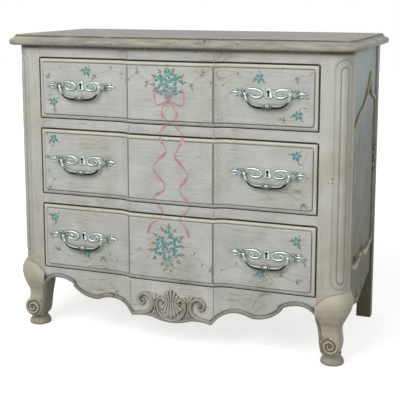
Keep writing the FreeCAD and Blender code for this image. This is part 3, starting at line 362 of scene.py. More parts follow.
def finished(bm, name, body, slot, covers=(), finish=None, sharp=35, tone=None):
    """Close a mesh drawn in millimetres, bring it into the scene and hang it on its body."""
    bmesh.ops.remove_doubles(bm, verts=bm.verts, dist=SAME_POINT)
    bmesh.ops.recalc_face_normals(bm, faces=bm.faces)
    if tone:
        bm.normal_update()
        glaze = glaze_and_shade_of(bm)
        for vertex in bm.verts:
            vertex[glaze] = max(vertex[glaze], tone(vertex))
    bmesh.ops.scale(bm, vec=(MM, MM, MM), verts=bm.verts)
    mesh = mesh_of(bm, name)
    mesh.shade_smooth()
    mesh.set_sharp_from_angle(angle=math.radians(sharp))
    mesh.materials.append(finish or FINISHES[slot])
    piece = bring_in(name, mesh)
    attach(piece, body)
    if covers:
        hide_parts(*covers)


def glaze_and_shade_of(bm):
    """Layer of a mesh that says how much dark glaze and painted shade lie at each point."""
    return bm.verts.layers.float.get("glaze") or bm.verts.layers.float.new("glaze")


def smooth_path(points, steps=6):
    """Smooth path through points that each hold the same list of numbers."""
    ends = [points[0], *points, points[-1]]
    path = []
    for a, b, c, d in zip(ends, ends[1:], ends[2:], ends[3:]):
        for step in range(steps):
            t = step / steps
            path.append(tuple(
                q + 0.5 * t * (r - p + t * (2 * p - 5 * q + 4 * r - s + t * (3 * q - p - 3 * r + s)))
                for p, q, r, s in zip(a, b, c, d)))
    path.append(tuple(points[-1]))
    return path


def draw_out(bm, face, keep):
    """Draw a face outward and return the new one; the old one stays only as the first end."""
    grown = bmesh.ops.extrude_face_region(bm, geom=[face])["geom"]
    if not keep:
        bmesh.ops.delete(bm, geom=[face], context="FACES_ONLY")
    return next(item for item in grown if isinstance(item, bmesh.types.BMFace))


def strand(bm, path, depth, sides=8, foot=0.0, crest=0.0, rim=0.3):
    """A round strand along a path of (x, z, half width, rise) over a surface of a given depth, glazed and painted with
    shade at its foot.
    """
    glaze = glaze_and_shade_of(bm)
    face = None
    before = Matrix.Identity(4)
    for at, (x, z, half, rise) in enumerate(path):
        ahead = path[min(at + 1, len(path) - 1)]
        behind = path[max(at - 1, 0)]
        turn = math.atan2(ahead[1] - behind[1], ahead[0] - behind[0])
        across = Vector((-math.sin(turn), 0.0, math.cos(turn))) * half
        out = Vector((0.0, -rise, 0.0))
        along = Vector((math.cos(turn), 0.0, math.sin(turn)))
        here = Matrix((across, out, along)).transposed().to_4x4()
        here.translation = (x, depth(x, z), z)
        if face is None:
            ring = bmesh.ops.create_circle(bm, cap_ends=True, segments=sides, radius=1.0)["verts"]
            face = ring[0].link_faces[0]
        else:
            face = draw_out(bm, face, at == 1)
            ring = face.verts[:]
        bmesh.ops.transform(bm, matrix=here @ before.inverted(), verts=ring)
        for vertex in ring:
            # Glaze and painted shade at the strand's foot
            vertex[glaze] = foot if depth(x, z) - vertex.co.y < rim * rise else crest
        before = here


def polar(x, z, reach, degrees):
    """Place at some reach from a point, in a direction."""
    angle = math.radians(degrees)
    return x + reach * math.cos(angle), z + reach * math.sin(angle)


def flat(depth):
    """A flat surface for strands to lie on."""
    return lambda x, z: depth


def share(value, least=0.0):
    """A value kept between the least share and the whole."""
    return min(max(value, least), 1.0)


def mirrored(path):
    """The same path on the other side of the middle."""
    return [(-point[0], *point[1:]) for point in path]


def rings_up(bm, count, levels, where):
    """An upright piece: a closed section of count points, drawn upward through levels."""
    glaze = glaze_and_shade_of(bm)
    mark = bm.verts.layers.int.new("place")
    ring = bmesh.ops.create_circle(bm, cap_ends=True, segments=count, radius=1.0)["verts"]
    face = ring[0].link_faces[0]
    for number, vertex in enumerate(face.verts):
        vertex[mark] = number
    for step, z in enumerate(levels):
        if step:
            face = draw_out(bm, face, step == 1)
        for vertex in face.verts:
            vertex.co, vertex[glaze] = where(vertex[mark], z)


# Border of a drawer front from its edge inward: (inset, rise), with minus toward the front
BORDER = ((0.0, -0.4), (1.3, -1.8), (3.0, -3.2), (6.5, -3.6), (9.0, -3.0), (10.2, -2.0), (10.8, -4.2),
          (11.6, -6.2), (13.0, -7.0))
LIP_END, FIELD_EDGE, GROOVE_END = BORDER[4][0], BORDER[5][0], BORDER[7][0]
FIELD_CORNER = 9.0
CREASE_GROOVE = 1.8
# Cuts inside the border, for the field's round corners; cuts beside a crease; strips of a cove and of half the middle
FIELD_CUTS, CREASE_CUTS = [14.5, 16.0, 17.5, 19.2], (-2.6, -1.8, -0.9, 0.0, 0.9, 1.8)
COVE_STRIPS, MIDDLE_STRIPS = 14, 8
# Painted shade on the rim inside the gap, glaze and painted shade in the groove round the field and more below it,
# glaze and painted shade in the creases, painted shade on the lower lip and on the back
RIM_SHADE, GROOVE_GLAZE_AND_SHADE, LOW_GROOVE_GLAZE_AND_SHADE, CREASE_GLAZE_AND_SHADE, LOW_LIP_SHADE, BACK_SHADE = 0.95, 0.42, 0.65, 0.68, 0.16, 0.2
# Wear of the lip above the field, with a painted highlight there, and beside it
HEAD_LIP_WEAR_AND_HIGHLIGHT, SIDE_LIP_WEAR = 0.38, 0.3


def drawer_face(drawer):
    """Depth of a drawer's face: a moulded border round a raised field, grooved at the two creases."""
    foot, head = DRAWERS[drawer]

    def depth(x, z):
        side = HALF_OPENING - FRONT_GAP - abs(x)
        end = min(z - foot - FRONT_GAP, head - FRONT_GAP - z)
        reach = min(side, end)
        if reach > FIELD_EDGE and side - FIELD_EDGE < FIELD_CORNER and end - FIELD_EDGE < FIELD_CORNER:
            slant = math.hypot(FIELD_CORNER - side + FIELD_EDGE, FIELD_CORNER - end + FIELD_EDGE)
            reach = FIELD_EDGE + max(FIELD_CORNER - slant, 0.0)
        rise = BORDER[-1][1]
        for (near, low), (far, high) in zip(BORDER, BORDER[1:]):
            if near <= reach < far:
                rise = low + (high - low) * (reach - near) / (far - near)
        if reach > FIELD_EDGE:
            rise += max(0.0, CREASE_GROOVE - abs(abs(x) - CREASE))
        return FRONT + front_line(x) + rise

    return depth


def board_face(x, z):
    """Depth of the rails and the apron."""
    return FRONT + front_line(x)


def make_drawer_front(drawer):
    """A drawer front: one board cut into strips, moulded round its edge and bent to the broken front."""
    foot, head = DRAWERS[drawer][0] + FRONT_GAP, DRAWERS[drawer][1] - FRONT_GAP
    half = HALF_OPENING - FRONT_GAP
    bm = bmesh.new()
    bmesh.ops.create_grid(bm, x_segments=1, y_segments=1, size=1.0)
    corner = max(vertex.co.x for vertex in bm.verts)
    stand = (Matrix.Translation((0.0, 0.0, (foot + head) / 2))
             @ Matrix.Diagonal((half / corner, 1.0, (head - foot) / 2 / corner, 1.0))
             @ Matrix.Rotation(math.pi / 2, 4, "X"))
    bmesh.ops.transform(bm, matrix=stand, verts=bm.verts)
    steps = [near for near, rise in BORDER[1:]] + FIELD_CUTS
    across = [half - step for step in steps]
    across += [CREASE + step for step in CREASE_CUTS]
    across += [CREASE + (COVE_FOOT - CREASE) * step / COVE_STRIPS for step in range(1, COVE_STRIPS + 1)]
    across += [CREASE * step / MIDDLE_STRIPS for step in range(1, MIDDLE_STRIPS)]
    cuts = [((x, 0, 0), (1, 0, 0)) for x in across] + [((-x, 0, 0), (1, 0, 0)) for x in across]
    cuts += [((0, 0, foot + step), (0, 0, 1)) for step in steps] + [((0, 0, head - step), (0, 0, 1)) for step in steps]
    cuts += [((0, 0, 0), (1, 0, 0)), ((0, 0, (foot + head) / 2), (0, 0, 1))]
    for place, facing in cuts:
        bmesh.ops.bisect_plane(bm, geom=bm.verts[:] + bm.edges[:] + bm.faces[:], plane_co=place, plane_no=facing)
    depth = drawer_face(drawer)
    glaze = glaze_and_shade_of(bm)
    wear_and_highlight = bm.verts.layers.float.new("wear_and_highlight")
    for vertex in bm.verts:
        x, z = vertex.co.x, vertex.co.z
        vertex.co.y = depth(x, z)
        reach = min(half - abs(x), z - foot, head - z)
        low = reach == z - foot
        if reach < 0.5:
            # The rim inside the gap is painted dark as shade
            vertex[glaze] = RIM_SHADE
        elif LIP_END < reach < GROOVE_END:
            vertex[glaze] = LOW_GROOVE_GLAZE_AND_SHADE if low else GROOVE_GLAZE_AND_SHADE
        elif reach > FIELD_EDGE and abs(abs(x) - CREASE) < 2.0:
            vertex[glaze] = CREASE_GLAZE_AND_SHADE
        elif reach < LIP_END:
            # The lip is rubbed pale above and beside the field, palest above with a painted highlight, and is painted
            # dark below it as shade
            vertex[glaze] = LOW_LIP_SHADE if low else 0.0
            vertex[wear_and_highlight] = 0.0 if low else HEAD_LIP_WEAR_AND_HIGHLIGHT if reach == head - z else SIDE_LIP_WEAR
    rim = bmesh.ops.extrude_edge_only(bm, edges=[edge for edge in bm.edges if edge.is_boundary])["geom"]
    for item in rim:
        if isinstance(item, bmesh.types.BMVert):
            item.co.y = FRONT + FRONT_THICKNESS
            # The back of the rim carries a lighter painted shade
            item[glaze] = BACK_SHADE
    bmesh.ops.holes_fill(bm, edges=[edge for edge in bm.edges if edge.is_boundary], sides=0)
    finished(bm, f"{drawer}_drawer_moulded_front", f"{drawer}_drawer", "front_paint", [f"{drawer}_drawer_front"])


# Front posts: plan and height
POST_INNER, POST_OUTER, POST_DEPTH, POST_CORNER = 405.0, 484.0, 60.0, 48.0
POST_FOOT, POST_HEAD = 203.0, 835.0
# Shallow panel on the corner and long bead in it: half width, foot, head, rise, groove at the edge, glaze in that
POST_RELIEF = ((25.0, 212.0, 814.0, -1.3, 0.7, 0.34), (10.5, 226.0, 794.0, 3.4, 1.6, 0.55))
PANEL_SHIFT = -3.0
# Rows of points up a post: first height, spacing and count, close together where panel and bead turn
POST_ROWS = ((209.0, 1.5, 27), (254.0, 28.0, 19), (771.0, 1.5, 31))
# Painted shadow under the top's edge: the height where it begins, the rise over which it darkens, its amount
UNDER_TOP, UNDER_TOP_RISE, UNDER_TOP_SHADOW = 823.0, 6.0, 0.95


def post_relief(across, z):
    """Rise of the shallow panel and of the long bead in it, and the glaze along their edges."""
    rise = glaze = 0.0
    for half, foot, head, height, groove, dark in POST_RELIEF:
        past = max(foot + half - z, z - head + half, 0.0)
        inside = half - math.hypot(across - PANEL_SHIFT, past)
        if inside > 0:
            round_up = min(inside / min(half, 9.0), 1.0)
            rise += height * math.sqrt(1 - (1 - round_up) ** 2)
            glaze = max(glaze, 0.06)
        near = max(0.0, 1 - abs(inside) / 2.6)
        rise -= groove * near
        # The ends of the panel hold more glaze than its long sides
        glaze = max(glaze, (dark + 0.35 * min(past / half, 1.0)) * near)
    return rise, min(glaze, 0.85)


def make_front_post(hand, sign):
    """A front post: a flat face, a round corner and the long bead worked on that corner."""
    plan = [(POST_INNER, 0.0, 0.0, -1.0), (POST_INNER + 1.2, 0.0, 0.0, -1.0)]
    plan += [(POST_INNER + 8 * step, 0.0, 0.0, -1.0) for step in range(1, 4)]
    turn = POST_OUTER - POST_CORNER
    for step in range(61):
        angle = math.radians(-90 + 90 * step / 60)
        plan.append((turn + POST_CORNER * math.cos(angle), POST_CORNER * (1 + math.sin(angle)),
                     math.cos(angle), math.sin(angle)))
    plan += [(POST_OUTER, POST_DEPTH, 0.0, 0.0), (POST_INNER, POST_DEPTH, 0.0, 0.0)]
    levels = [POST_FOOT, 207.0]
    levels += [first + gap * step for first, gap, count in POST_ROWS for step in range(count)]
    levels += [822.0, 825.0, 828.5, 832.0, POST_HEAD]

    def where(number, z):
        x, y, out_x, out_y = plan[number]
        across = (x - turn + y - POST_CORNER) / math.sqrt(2)
        rise, glaze = post_relief(across, z)
        # Painted shadow of the top's overhang on the head of the post
        top_shadow = UNDER_TOP_SHADOW * share((z - UNDER_TOP) / UNDER_TOP_RISE)
        return (sign * (x + out_x * rise), FRONT + y + out_y * rise, z), max(glaze, top_shadow)

    bm = bmesh.new()
    rings_up(bm, len(plan), levels, where)
    finished(bm, f"{hand}_carved_front_post", "case", "post_paint", [f"{hand}_front_post"])


# Level sections of a front leg: height, inner edge, outer edge, face, back and corner radius
LEG_SECTIONS = (
    (29.5, 424.0, 466.0, 7.0, 54.0, 18.0), (38.0, 420.0, 469.0, 2.0, 57.0, 18.0),
    (58.0, 416.5, 471.5, 0.0, 58.0, 15.0), (80.0, 414.0, 468.5, 4.0, 58.0, 13.0),
    (93.0, 412.0, 467.5, 7.0, 58.0, 14.0), (108.0, 409.5, 471.0, 5.0, 59.0, 20.0),
    (126.0, 406.5, 482.0, -3.0, 60.0, 32.0), (146.0, 405.2, 491.5, -10.5, 60.0, 44.0),
    (164.0, 405.2, 495.0, -13.0, 60.0, 48.0), (178.0, 405.2, 494.0, -12.0, 60.0, 48.0),
    (188.0, 405.2, 491.0, -9.0, 60.0, 48.0), (195.0, 405.1, 487.6, -5.2, 60.0, 48.0),
    (198.5, 405.1, 485.2, -2.4, 60.0, 48.0), (200.0, 405.0, 484.0, 0.6, 60.0, 48.0),
    (201.0, 405.0, 484.0, 0.0, 60.0, 48.0), (203.0, 405.0, 484.0, 0.0, 60.0, 48.0))
LEG_LEVELS = [29.5 + 3.0 * step for step in range(53)]
LEG_LEVELS += [188.0, 190.5, 193.0, 195.0, 197.0, 198.5, 199.4, 200.0, 201.0, 201.8, 203.0]
# Volute: middle, height and radius; then the depth of its face and the turns of its strand
VOLUTE = (446.5, 58.5, 27.5)
VOLUTE_FACE = FRONT - 5.6
VOLUTE_START, VOLUTE_SWEEP, VOLUTE_POINTS = 95, 690, 56
# The strand's reach from the middle and how far that closes in, its half width and how much that thins, its rise
VOLUTE_REACH, VOLUTE_CLOSE, VOLUTE_HALF, VOLUTE_THIN, VOLUTE_RISE = 23.6, 19.4, 4.1, 1.6, 4.6
# Knee: its upper line, how far that falls toward the inner edge, and where the fall begins
KNEE_LINE, KNEE_FALL, KNEE_FOOT = 200.0, 34.0, 100.0
LEG_BEAD_FOOT, LEG_BEAD_HEAD = 38, 138
# Middle of a pad: from the middle of the chest, and back from the face of the posts
PAD_MIDDLE, PAD_BACK = 446.0, 35.0


def leg_section(z):
    """Section of a leg at any height."""
    path = LEG_SECTIONS
    for low, high in zip(path, path[1:]):
        if low[0] <= z <= high[0]:
            t = (z - low[0]) / (high[0] - low[0])
            t = t * t * (3 - 2 * t) * 0.35 + t * 0.65
            return [a + (b - a) * t for a, b in zip(low[1:], high[1:])]
    return list(path[0 if z < path[0][0] else -1][1:])


def make_front_leg(hand, sign):
    """A front leg: a knee under an arched line, a thin ankle, a bead down its inner edge and a volute in front."""
    marks = [("front", 0.0)]
    for part, count in (("front", 12), ("corner", 14), ("side", 5), ("back", 5), ("inner", 5)):
        marks += [(part, step / count) for step in range(1, count + 1)]
    # The last point of the section is the first one again
    marks.pop()

    def where(number, level):
        part, t = marks[number]
        inner, outer, front, back, radius = leg_section(level)
        if part == "front":
            x, y = inner + t * (outer - radius - inner), front
        elif part == "corner":
            angle = math.radians(-90 + 90 * t)
            x, y = outer - radius + radius * math.cos(angle), front + radius * (1 + math.sin(angle))
        elif part == "side":
            x, y = outer, front + radius + t * (back - front - radius)
        elif part == "back":
            x, y = outer + t * (inner - outer), back
        else:
            x, y = inner, back + t * (front - back)
        # The knee's upper line falls away toward the inner edge
        across = share((x - POST_INNER) / (POST_OUTER - POST_INNER))
        fall = KNEE_FALL * (1 - across) ** 3
        lower = share((level - KNEE_FOOT) / (KNEE_LINE - KNEE_FOOT))
        sink = fall * lower * lower if level < POST_FOOT - 0.5 else 0.0
        # Dark line along the knee's upper edge: glaze and painted shade in that crease
        near = max(0.0, 1 - abs(level - KNEE_LINE) / 1.6)
        glaze = 0.34 * near * (0.3 + 0.7 * across) if part in ("front", "corner") else 0.0
        # The side toward the other leg is painted dark as shade
        if part == "inner":
            glaze = 0.5
        return (sign * x, FRONT + y, level - sink), glaze

    bm = bmesh.new()
    rings_up(bm, len(marks), LEG_LEVELS, where)

    middle, level, radius = VOLUTE
    disc = bmesh.ops.create_circle(bm, cap_ends=True, segments=40, radius=radius)["verts"]
    bmesh.ops.transform(bm, matrix=Matrix.Translation((sign * middle, FRONT + 12, level))
                        @ Matrix.Rotation(math.pi / 2, 4, "X"), verts=disc)
    hub = disc[0].link_faces[0]
    centre = Vector((sign * middle, 0.0, level))
    for forward, shrink in ((15.0, 1.0), (1.8, 0.97), (0.7, 0.9)):
        hub = draw_out(bm, hub, shrink == 1.0)
        for vertex in hub.verts:
            spoke = Vector((vertex.co.x, 0.0, vertex.co.z)) - centre
            place = centre + spoke * shrink
            vertex.co = (place.x, vertex.co.y - forward, place.z)
            vertex[glaze_and_shade_of(bm)] = 0.7 if shrink == 0.9 else 0.0
    turns = []
    for step in range(VOLUTE_POINTS + 1):
        t = step / VOLUTE_POINTS
        x, z = polar(middle, level, VOLUTE_REACH - VOLUTE_CLOSE * t ** 0.9, VOLUTE_START - VOLUTE_SWEEP * t)
        turns.append((sign * x, z, VOLUTE_HALF - VOLUTE_THIN * t, VOLUTE_RISE if step else 0.6))
    strand(bm, turns, flat(VOLUTE_FACE), 10, FOOT_GLAZE_AND_SHADE)
    finished(bm, f"{hand}_scrolled_front_leg", "case", "leg_paint", [f"{hand}_front_leg"], sharp=50)

    # Bead down the inner edge, from the apron to the volute
    bm = bmesh.new()
    line = []
    for z in range(LEG_BEAD_FOOT, LEG_BEAD_HEAD + 1, 4):
        half, rise = (2.0, 0.8) if z in (LEG_BEAD_FOOT, LEG_BEAD_HEAD) else (4.3, 3.2)
        line.append((sign * (leg_section(z)[0] + 4.6), z, half, rise))
    strand(bm, line, lambda x, z: FRONT + leg_section(z)[2] - 0.1, 10, FOOT_GLAZE_AND_SHADE, 0.3)
    finished(bm, f"{hand}_leg_edge_bead", "case", "leg_paint", finish=BEAD_PAINT, sharp=60)


def make_front_pad(hand, sign):
    """A turned pad: a bell with a narrow neck, spun from its outline."""
    bm = bmesh.new()
    outline = ((0.0, 0.0), (30.0, 0.0), (31.6, 1.2), (32.0, 4.0), (31.4, 8.0), (29.0, 13.0), (25.8, 18.0),
               (23.2, 22.0), (22.0, 25.5), (22.6, 28.0), (24.5, 30.0), (0.0, 30.0))
    middle = Vector((sign * PAD_MIDDLE, FRONT + PAD_BACK, 0.0))
    corners = [bm.verts.new(middle + Vector((reach, 0.0, z))) for reach, z in outline]
    edges = [bm.edges.new(pair) for pair in zip(corners, corners[1:])]
    bmesh.ops.spin(bm, geom=corners + edges, cent=middle, axis=(0, 0, 1), angle=2 * math.pi, steps=48, use_merge=True)
    finished(bm, f"{hand}_turned_pad", "case", "leg_paint", [f"{hand}_front_pad"], PAD_PAINT)


# Flower painting in artist's colours, thin and a little faded, and brown glaze with painted shade in the creases,
# painted shade along the openings and painted shadow under the top
BRUSHES = {brush: brush_colour(name, deep, pale) for brush, name, deep, pale in (
    ("teal", "teal_petal_strokes", "#38736F", "#69988F"), ("blue", "blue_petal_strokes", "#42677A", "#77949D"),
    ("leaf", "olive_leaf_strokes", "#5F6350", "#878973"), ("vine", "thin_vine_strokes", "#8B8776", "#A29F90"),
    ("ribbon", "pink_ribbon_strokes", "#A0707B", "#BC959B"), ("eye", "pale_flower_eyes", "#C9BE93", "#DAD3B4"),
    ("pale", "pale_petal_strokes", "#8FB0AC", "#B4C6C0"), ("glaze", "glaze_and_painted_shade_in_creases_and_under_top", "#575141", "#7C7664"),
    ("thin", "thin_glaze_under_top", "#716C5E", "#989384"), ("dirt", "painted_shade_along_openings", "#2B271F", "#464033"),
    ("knot", "plum_knot_strokes", "#655D7B", "#8B8099"))}

# Keyhole: a near-black sheet painted as the shade inside the hole behind the plate
KEYHOLE_DARK = cast_metal("keyhole_painted_shade", "#12110F", "#070706", roughness=0.7, reach=0.003)

# Depths of a backplate: the drawer's field behind it, its back, the ground of its ornament and its keyhole
PLATE_FACE = FRONT - FIELD_RISE
PLATE_BACK = PLATE_FACE - 0.6
PLATE_GROUND = PLATE_FACE - 1.7
KEYHOLE_FACE = PLATE_FACE - 3.55
ROSETTE_OFFSET = 73.0
BAIL_PIVOT = -221.48
# The bail's knuckle is oval, so that it clears the drawer when the bail falls back
BAIL_DEPTH = 5.7


def make_backplate(drawer, hand, sign):
    """A cast plate: a shield with a keyhole between two scrolls, a rosette at each post and a leaf at each end."""
    middle, level = sign * PULL_OFFSET, PULL_HEIGHTS[drawer]
    bm = bmesh.new()
    # Thin ground of the plate, following the ornament's outline
    outline = ((0.0, 11.0), (10.0, 10.0), (16.0, 7.5), (24.0, 9.0), (36.0, 11.0), (48.0, 9.5), (58.0, 6.0),
               (66.0, 5.0), (74.0, 7.0), (82.0, 5.5), (92.0, 4.5), (100.0, 2.2), (106.0, 0.4))
    path = [(middle + x, level, half, 1.0) for x, half in smooth_path(mirrored(outline[:0:-1]) + list(outline), 2)]
    strand(bm, path, flat(PLATE_BACK), 6)
    for vertex in bm.verts:
        vertex[glaze_and_shade_of(bm)] = 0.38

    # Shield, wider at the foot, with a raised rim
    shield = ((-12.5, 6.5), (-11.5, 10.5), (-7.0, 10.0), (0.0, 7.8), (7.0, 7.4), (10.5, 8.4), (12.0, 6.0))
    strand(bm, [(middle, level + z, half, 3.0) for z, half in smooth_path(shield, 3)],
           flat(PLATE_BACK), 12, FOOT_GLAZE_AND_SHADE)

    for flip in (-1, 1):
        def lay(points, steps=5):
            bent = [(middle + flip * x, level + z, half, rise) for x, z, half, rise in points]
            strand(bm, smooth_path(bent, steps), flat(PLATE_GROUND), 8, 0.95)

        # Scroll, then a curl beside it and the three lobes of the leaf at the end
        lay([(65, 3, 1.2, 1.4), (58, 8, 2.0, 2.6), (47, 10.5, 2.3, 3.0), (34, 10.0, 2.5, 3.2), (22, 6.5, 2.6, 3.4),
             (16.2, -1, 2.7, 3.4), (20, -8.6, 2.6, 3.4), (31, -11.2, 2.5, 3.2), (43, -9.0, 2.3, 3.0),
             (47.5, -3, 2.0, 2.8), (43, 1.8, 1.8, 2.6), (36, 0.8, 1.7, 2.6), (34.5, -3.6, 1.6, 2.6),
             (38.5, -5, 1.8, 2.8)])
        lay([(50, 5.5, 0.8, 1.2), (56, 1.0, 1.6, 2.2), (62, -3.5, 1.4, 2.0), (67, -5.5, 0.6, 1.0)], 4)
        lay([(80, 0, 2.4, 2.6), (88, 1.5, 3.2, 3.2), (96, 1.0, 2.4, 2.6), (102, 0.2, 1.4, 1.8), (106, 0, 0.5, 0.8)], 4)
        lay([(80, 4, 1.0, 1.6), (86, 7.2, 1.7, 2.4), (91.5, 6.2, 1.7, 2.2), (92.5, 3.4, 1.0, 1.4)], 4)
        lay([(80, -4, 1.0, 1.6), (86, -7.0, 1.7, 2.4), (92, -5.6, 1.7, 2.2), (92, -2.8, 1.0, 1.4)], 4)

        # Rosette under the post: eight petals
        for petal in range(8):
            strand(bm, [(*polar(middle + flip * ROSETTE_OFFSET, level, reach, 45 * petal + 22.5), half, rise)
                        for reach, half, rise in ((3.0, 1.6, 2.2), (6.0, 2.8, 3.0), (8.2, 2.4, 2.4), (9.6, 0.8, 0.9))],
                   flat(PLATE_GROUND), 6, FOOT_GLAZE_AND_SHADE)

    def tarnish(vertex):
        # The rosettes and the leaves at the ends were not rubbed back as far as the scrolls
        away = abs(vertex.co.x - middle)
        return 0.3 if 62.0 < away < 84.0 else 0.1 if away > 84.0 else 0.0

    finished(bm, f"{drawer}_{hand}_cast_backplate", f"{drawer}_drawer", "pull_metal",
             [f"{drawer}_{hand}_backplate"], sharp=60, tone=tarnish)

    # Keyhole: a round head over a slot, near black as painted shade
    bm = bmesh.new()
    hole = ((-9.0, 2.2), (-8.4, 2.8), (-1.4, 1.9), (0.4, 2.0), (1.6, 3.2), (4.0, 3.7), (6.4, 3.0), (7.6, 1.5))
    strand(bm, [(middle, level + 0.2 + z, half, 0.35) for z, half in hole], flat(KEYHOLE_FACE), 8)
    finished(bm, f"{drawer}_{hand}_keyhole", f"{drawer}_drawer", "pull_metal", finish=KEYHOLE_DARK)


def make_bail(drawer, hand, sign):
    """A swelling bail with a turned knuckle at the middle of its grip."""
    middle, level = sign * PULL_OFFSET, PULL_HEIGHTS[drawer]
    arm = [(68.0, 0.0, 2.0), (64.6, 0.0, 2.1), (62.6, -0.8, 3.6), (61.2, -3.2, 4.3), (60.4, -6.5, 3.2),
           (58.0, -14.0, 3.0), (53.0, -22.5, 3.2), (45.0, -29.4, 3.8), (34.0, -33.4, 4.4), (22.0, -34.8, 4.8),
           (13.0, -35.0, 4.9)]
    arm = smooth_path(arm, 4)
    knuckle = [(11.6, -35.0, 4.8), (11.2, -35.0, 5.9), (9.4, -35.0, 6.0), (9.0, -35.0, 4.6), (6.8, -35.0, 4.3),
               (6.2, -35.0, 5.4), (4.6, -35.0, 6.4), (2.0, -35.0, 6.9), (0.0, -35.0, 7.0)]
    half = arm + knuckle
    whole = half + mirrored(half[-2::-1])
    bm = bmesh.new()
    strand(bm, [(middle + x, level + z, reach, min(reach, BAIL_DEPTH)) for x, z, reach in whole],
           flat(BAIL_PIVOT), 14)

    def tarnish(vertex):
        # The underside of the grip is painted near black as shade, the knuckle is rubbed brighter
        under = share((0.78 - vertex.normal.z) / 0.4)
        grip = share((level - 14.0 - vertex.co.z) / 9.0, 0.05)
        off = abs(vertex.co.x - middle)
        rubbed = 0.8 if off < 12.0 else 1.0
        groove = 0.85 if 6.5 < off < 9.2 or 11.4 < off < 14.0 else 0.0
        return max(groove, 0.97 * under * grip * rubbed)

    finished(bm, f"{drawer}_{hand}_swelled_bail", f"{drawer}_{hand}_bail_swing", "pull_metal",
             [f"{drawer}_{hand}_bail"], sharp=60, tone=tarnish)


def arc_between(start, end, bulge, steps):
    """Points along an arc from start to end whose middle stands off the chord by a bulge."""
    run = Vector(end) - Vector(start)
    side = Vector((-run.y, run.x)).normalized()
    return [Vector(start) + run * t + side * bulge * 4 * t * (1 - t)
            for t in (step / steps for step in range(steps))]


# Corners of the apron's lower edge from the middle outward: place, and bulge and steps of the arc to the next one
APRON_EDGE = (((0.0, 71.0), -2.8, 8), ((58.0, 82.0), 3.0, 8), ((118.0, 78.0), 22.6, 16), ((230.0, 107.0), -9.9, 12),
              ((312.0, 138.0), 0.0, 2), ((312.0, 145.0), 3.0, 8), ((357.0, 158.0), 7.2, 8), ((405.0, 136.0), 0.0, 0))


def apron_edge():
    """Lower edge of the apron from the middle to the right-hand post."""
    points = []
    for (start, bulge, steps), (end, *_) in zip(APRON_EDGE, APRON_EDGE[1:]):
        points += arc_between(start, end, bulge, steps)
    return points + [Vector(end)]


def make_apron_bead():
    """Two beads along the scalloped edge of the apron."""
    edge = apron_edge()
    bm = bmesh.new()
    for inset, half, rise, back in ((4.2, 3.8, 2.4, 3.1), (11.0, 2.0, 1.9, 0.1)):
        line = []
        for at, point in enumerate(edge):
            run = edge[min(at + 1, len(edge) - 1)] - edge[max(at - 1, 0)]
            up = Vector((-run.y, run.x)).normalized()
            place = point + up * inset
            line.append((place.x, place.y, half, rise))
        line[0] = (0.0, line[0][1], half, rise)
        strand(bm, mirrored(line[:0:-1]) + line, lambda x, z: board_face(x, z) - back, 10, FOOT_GLAZE_AND_SHADE, 0.22)
    finished(bm, "apron_edge_bead", "case", "front_paint", finish=BEAD_PAINT, sharp=60)


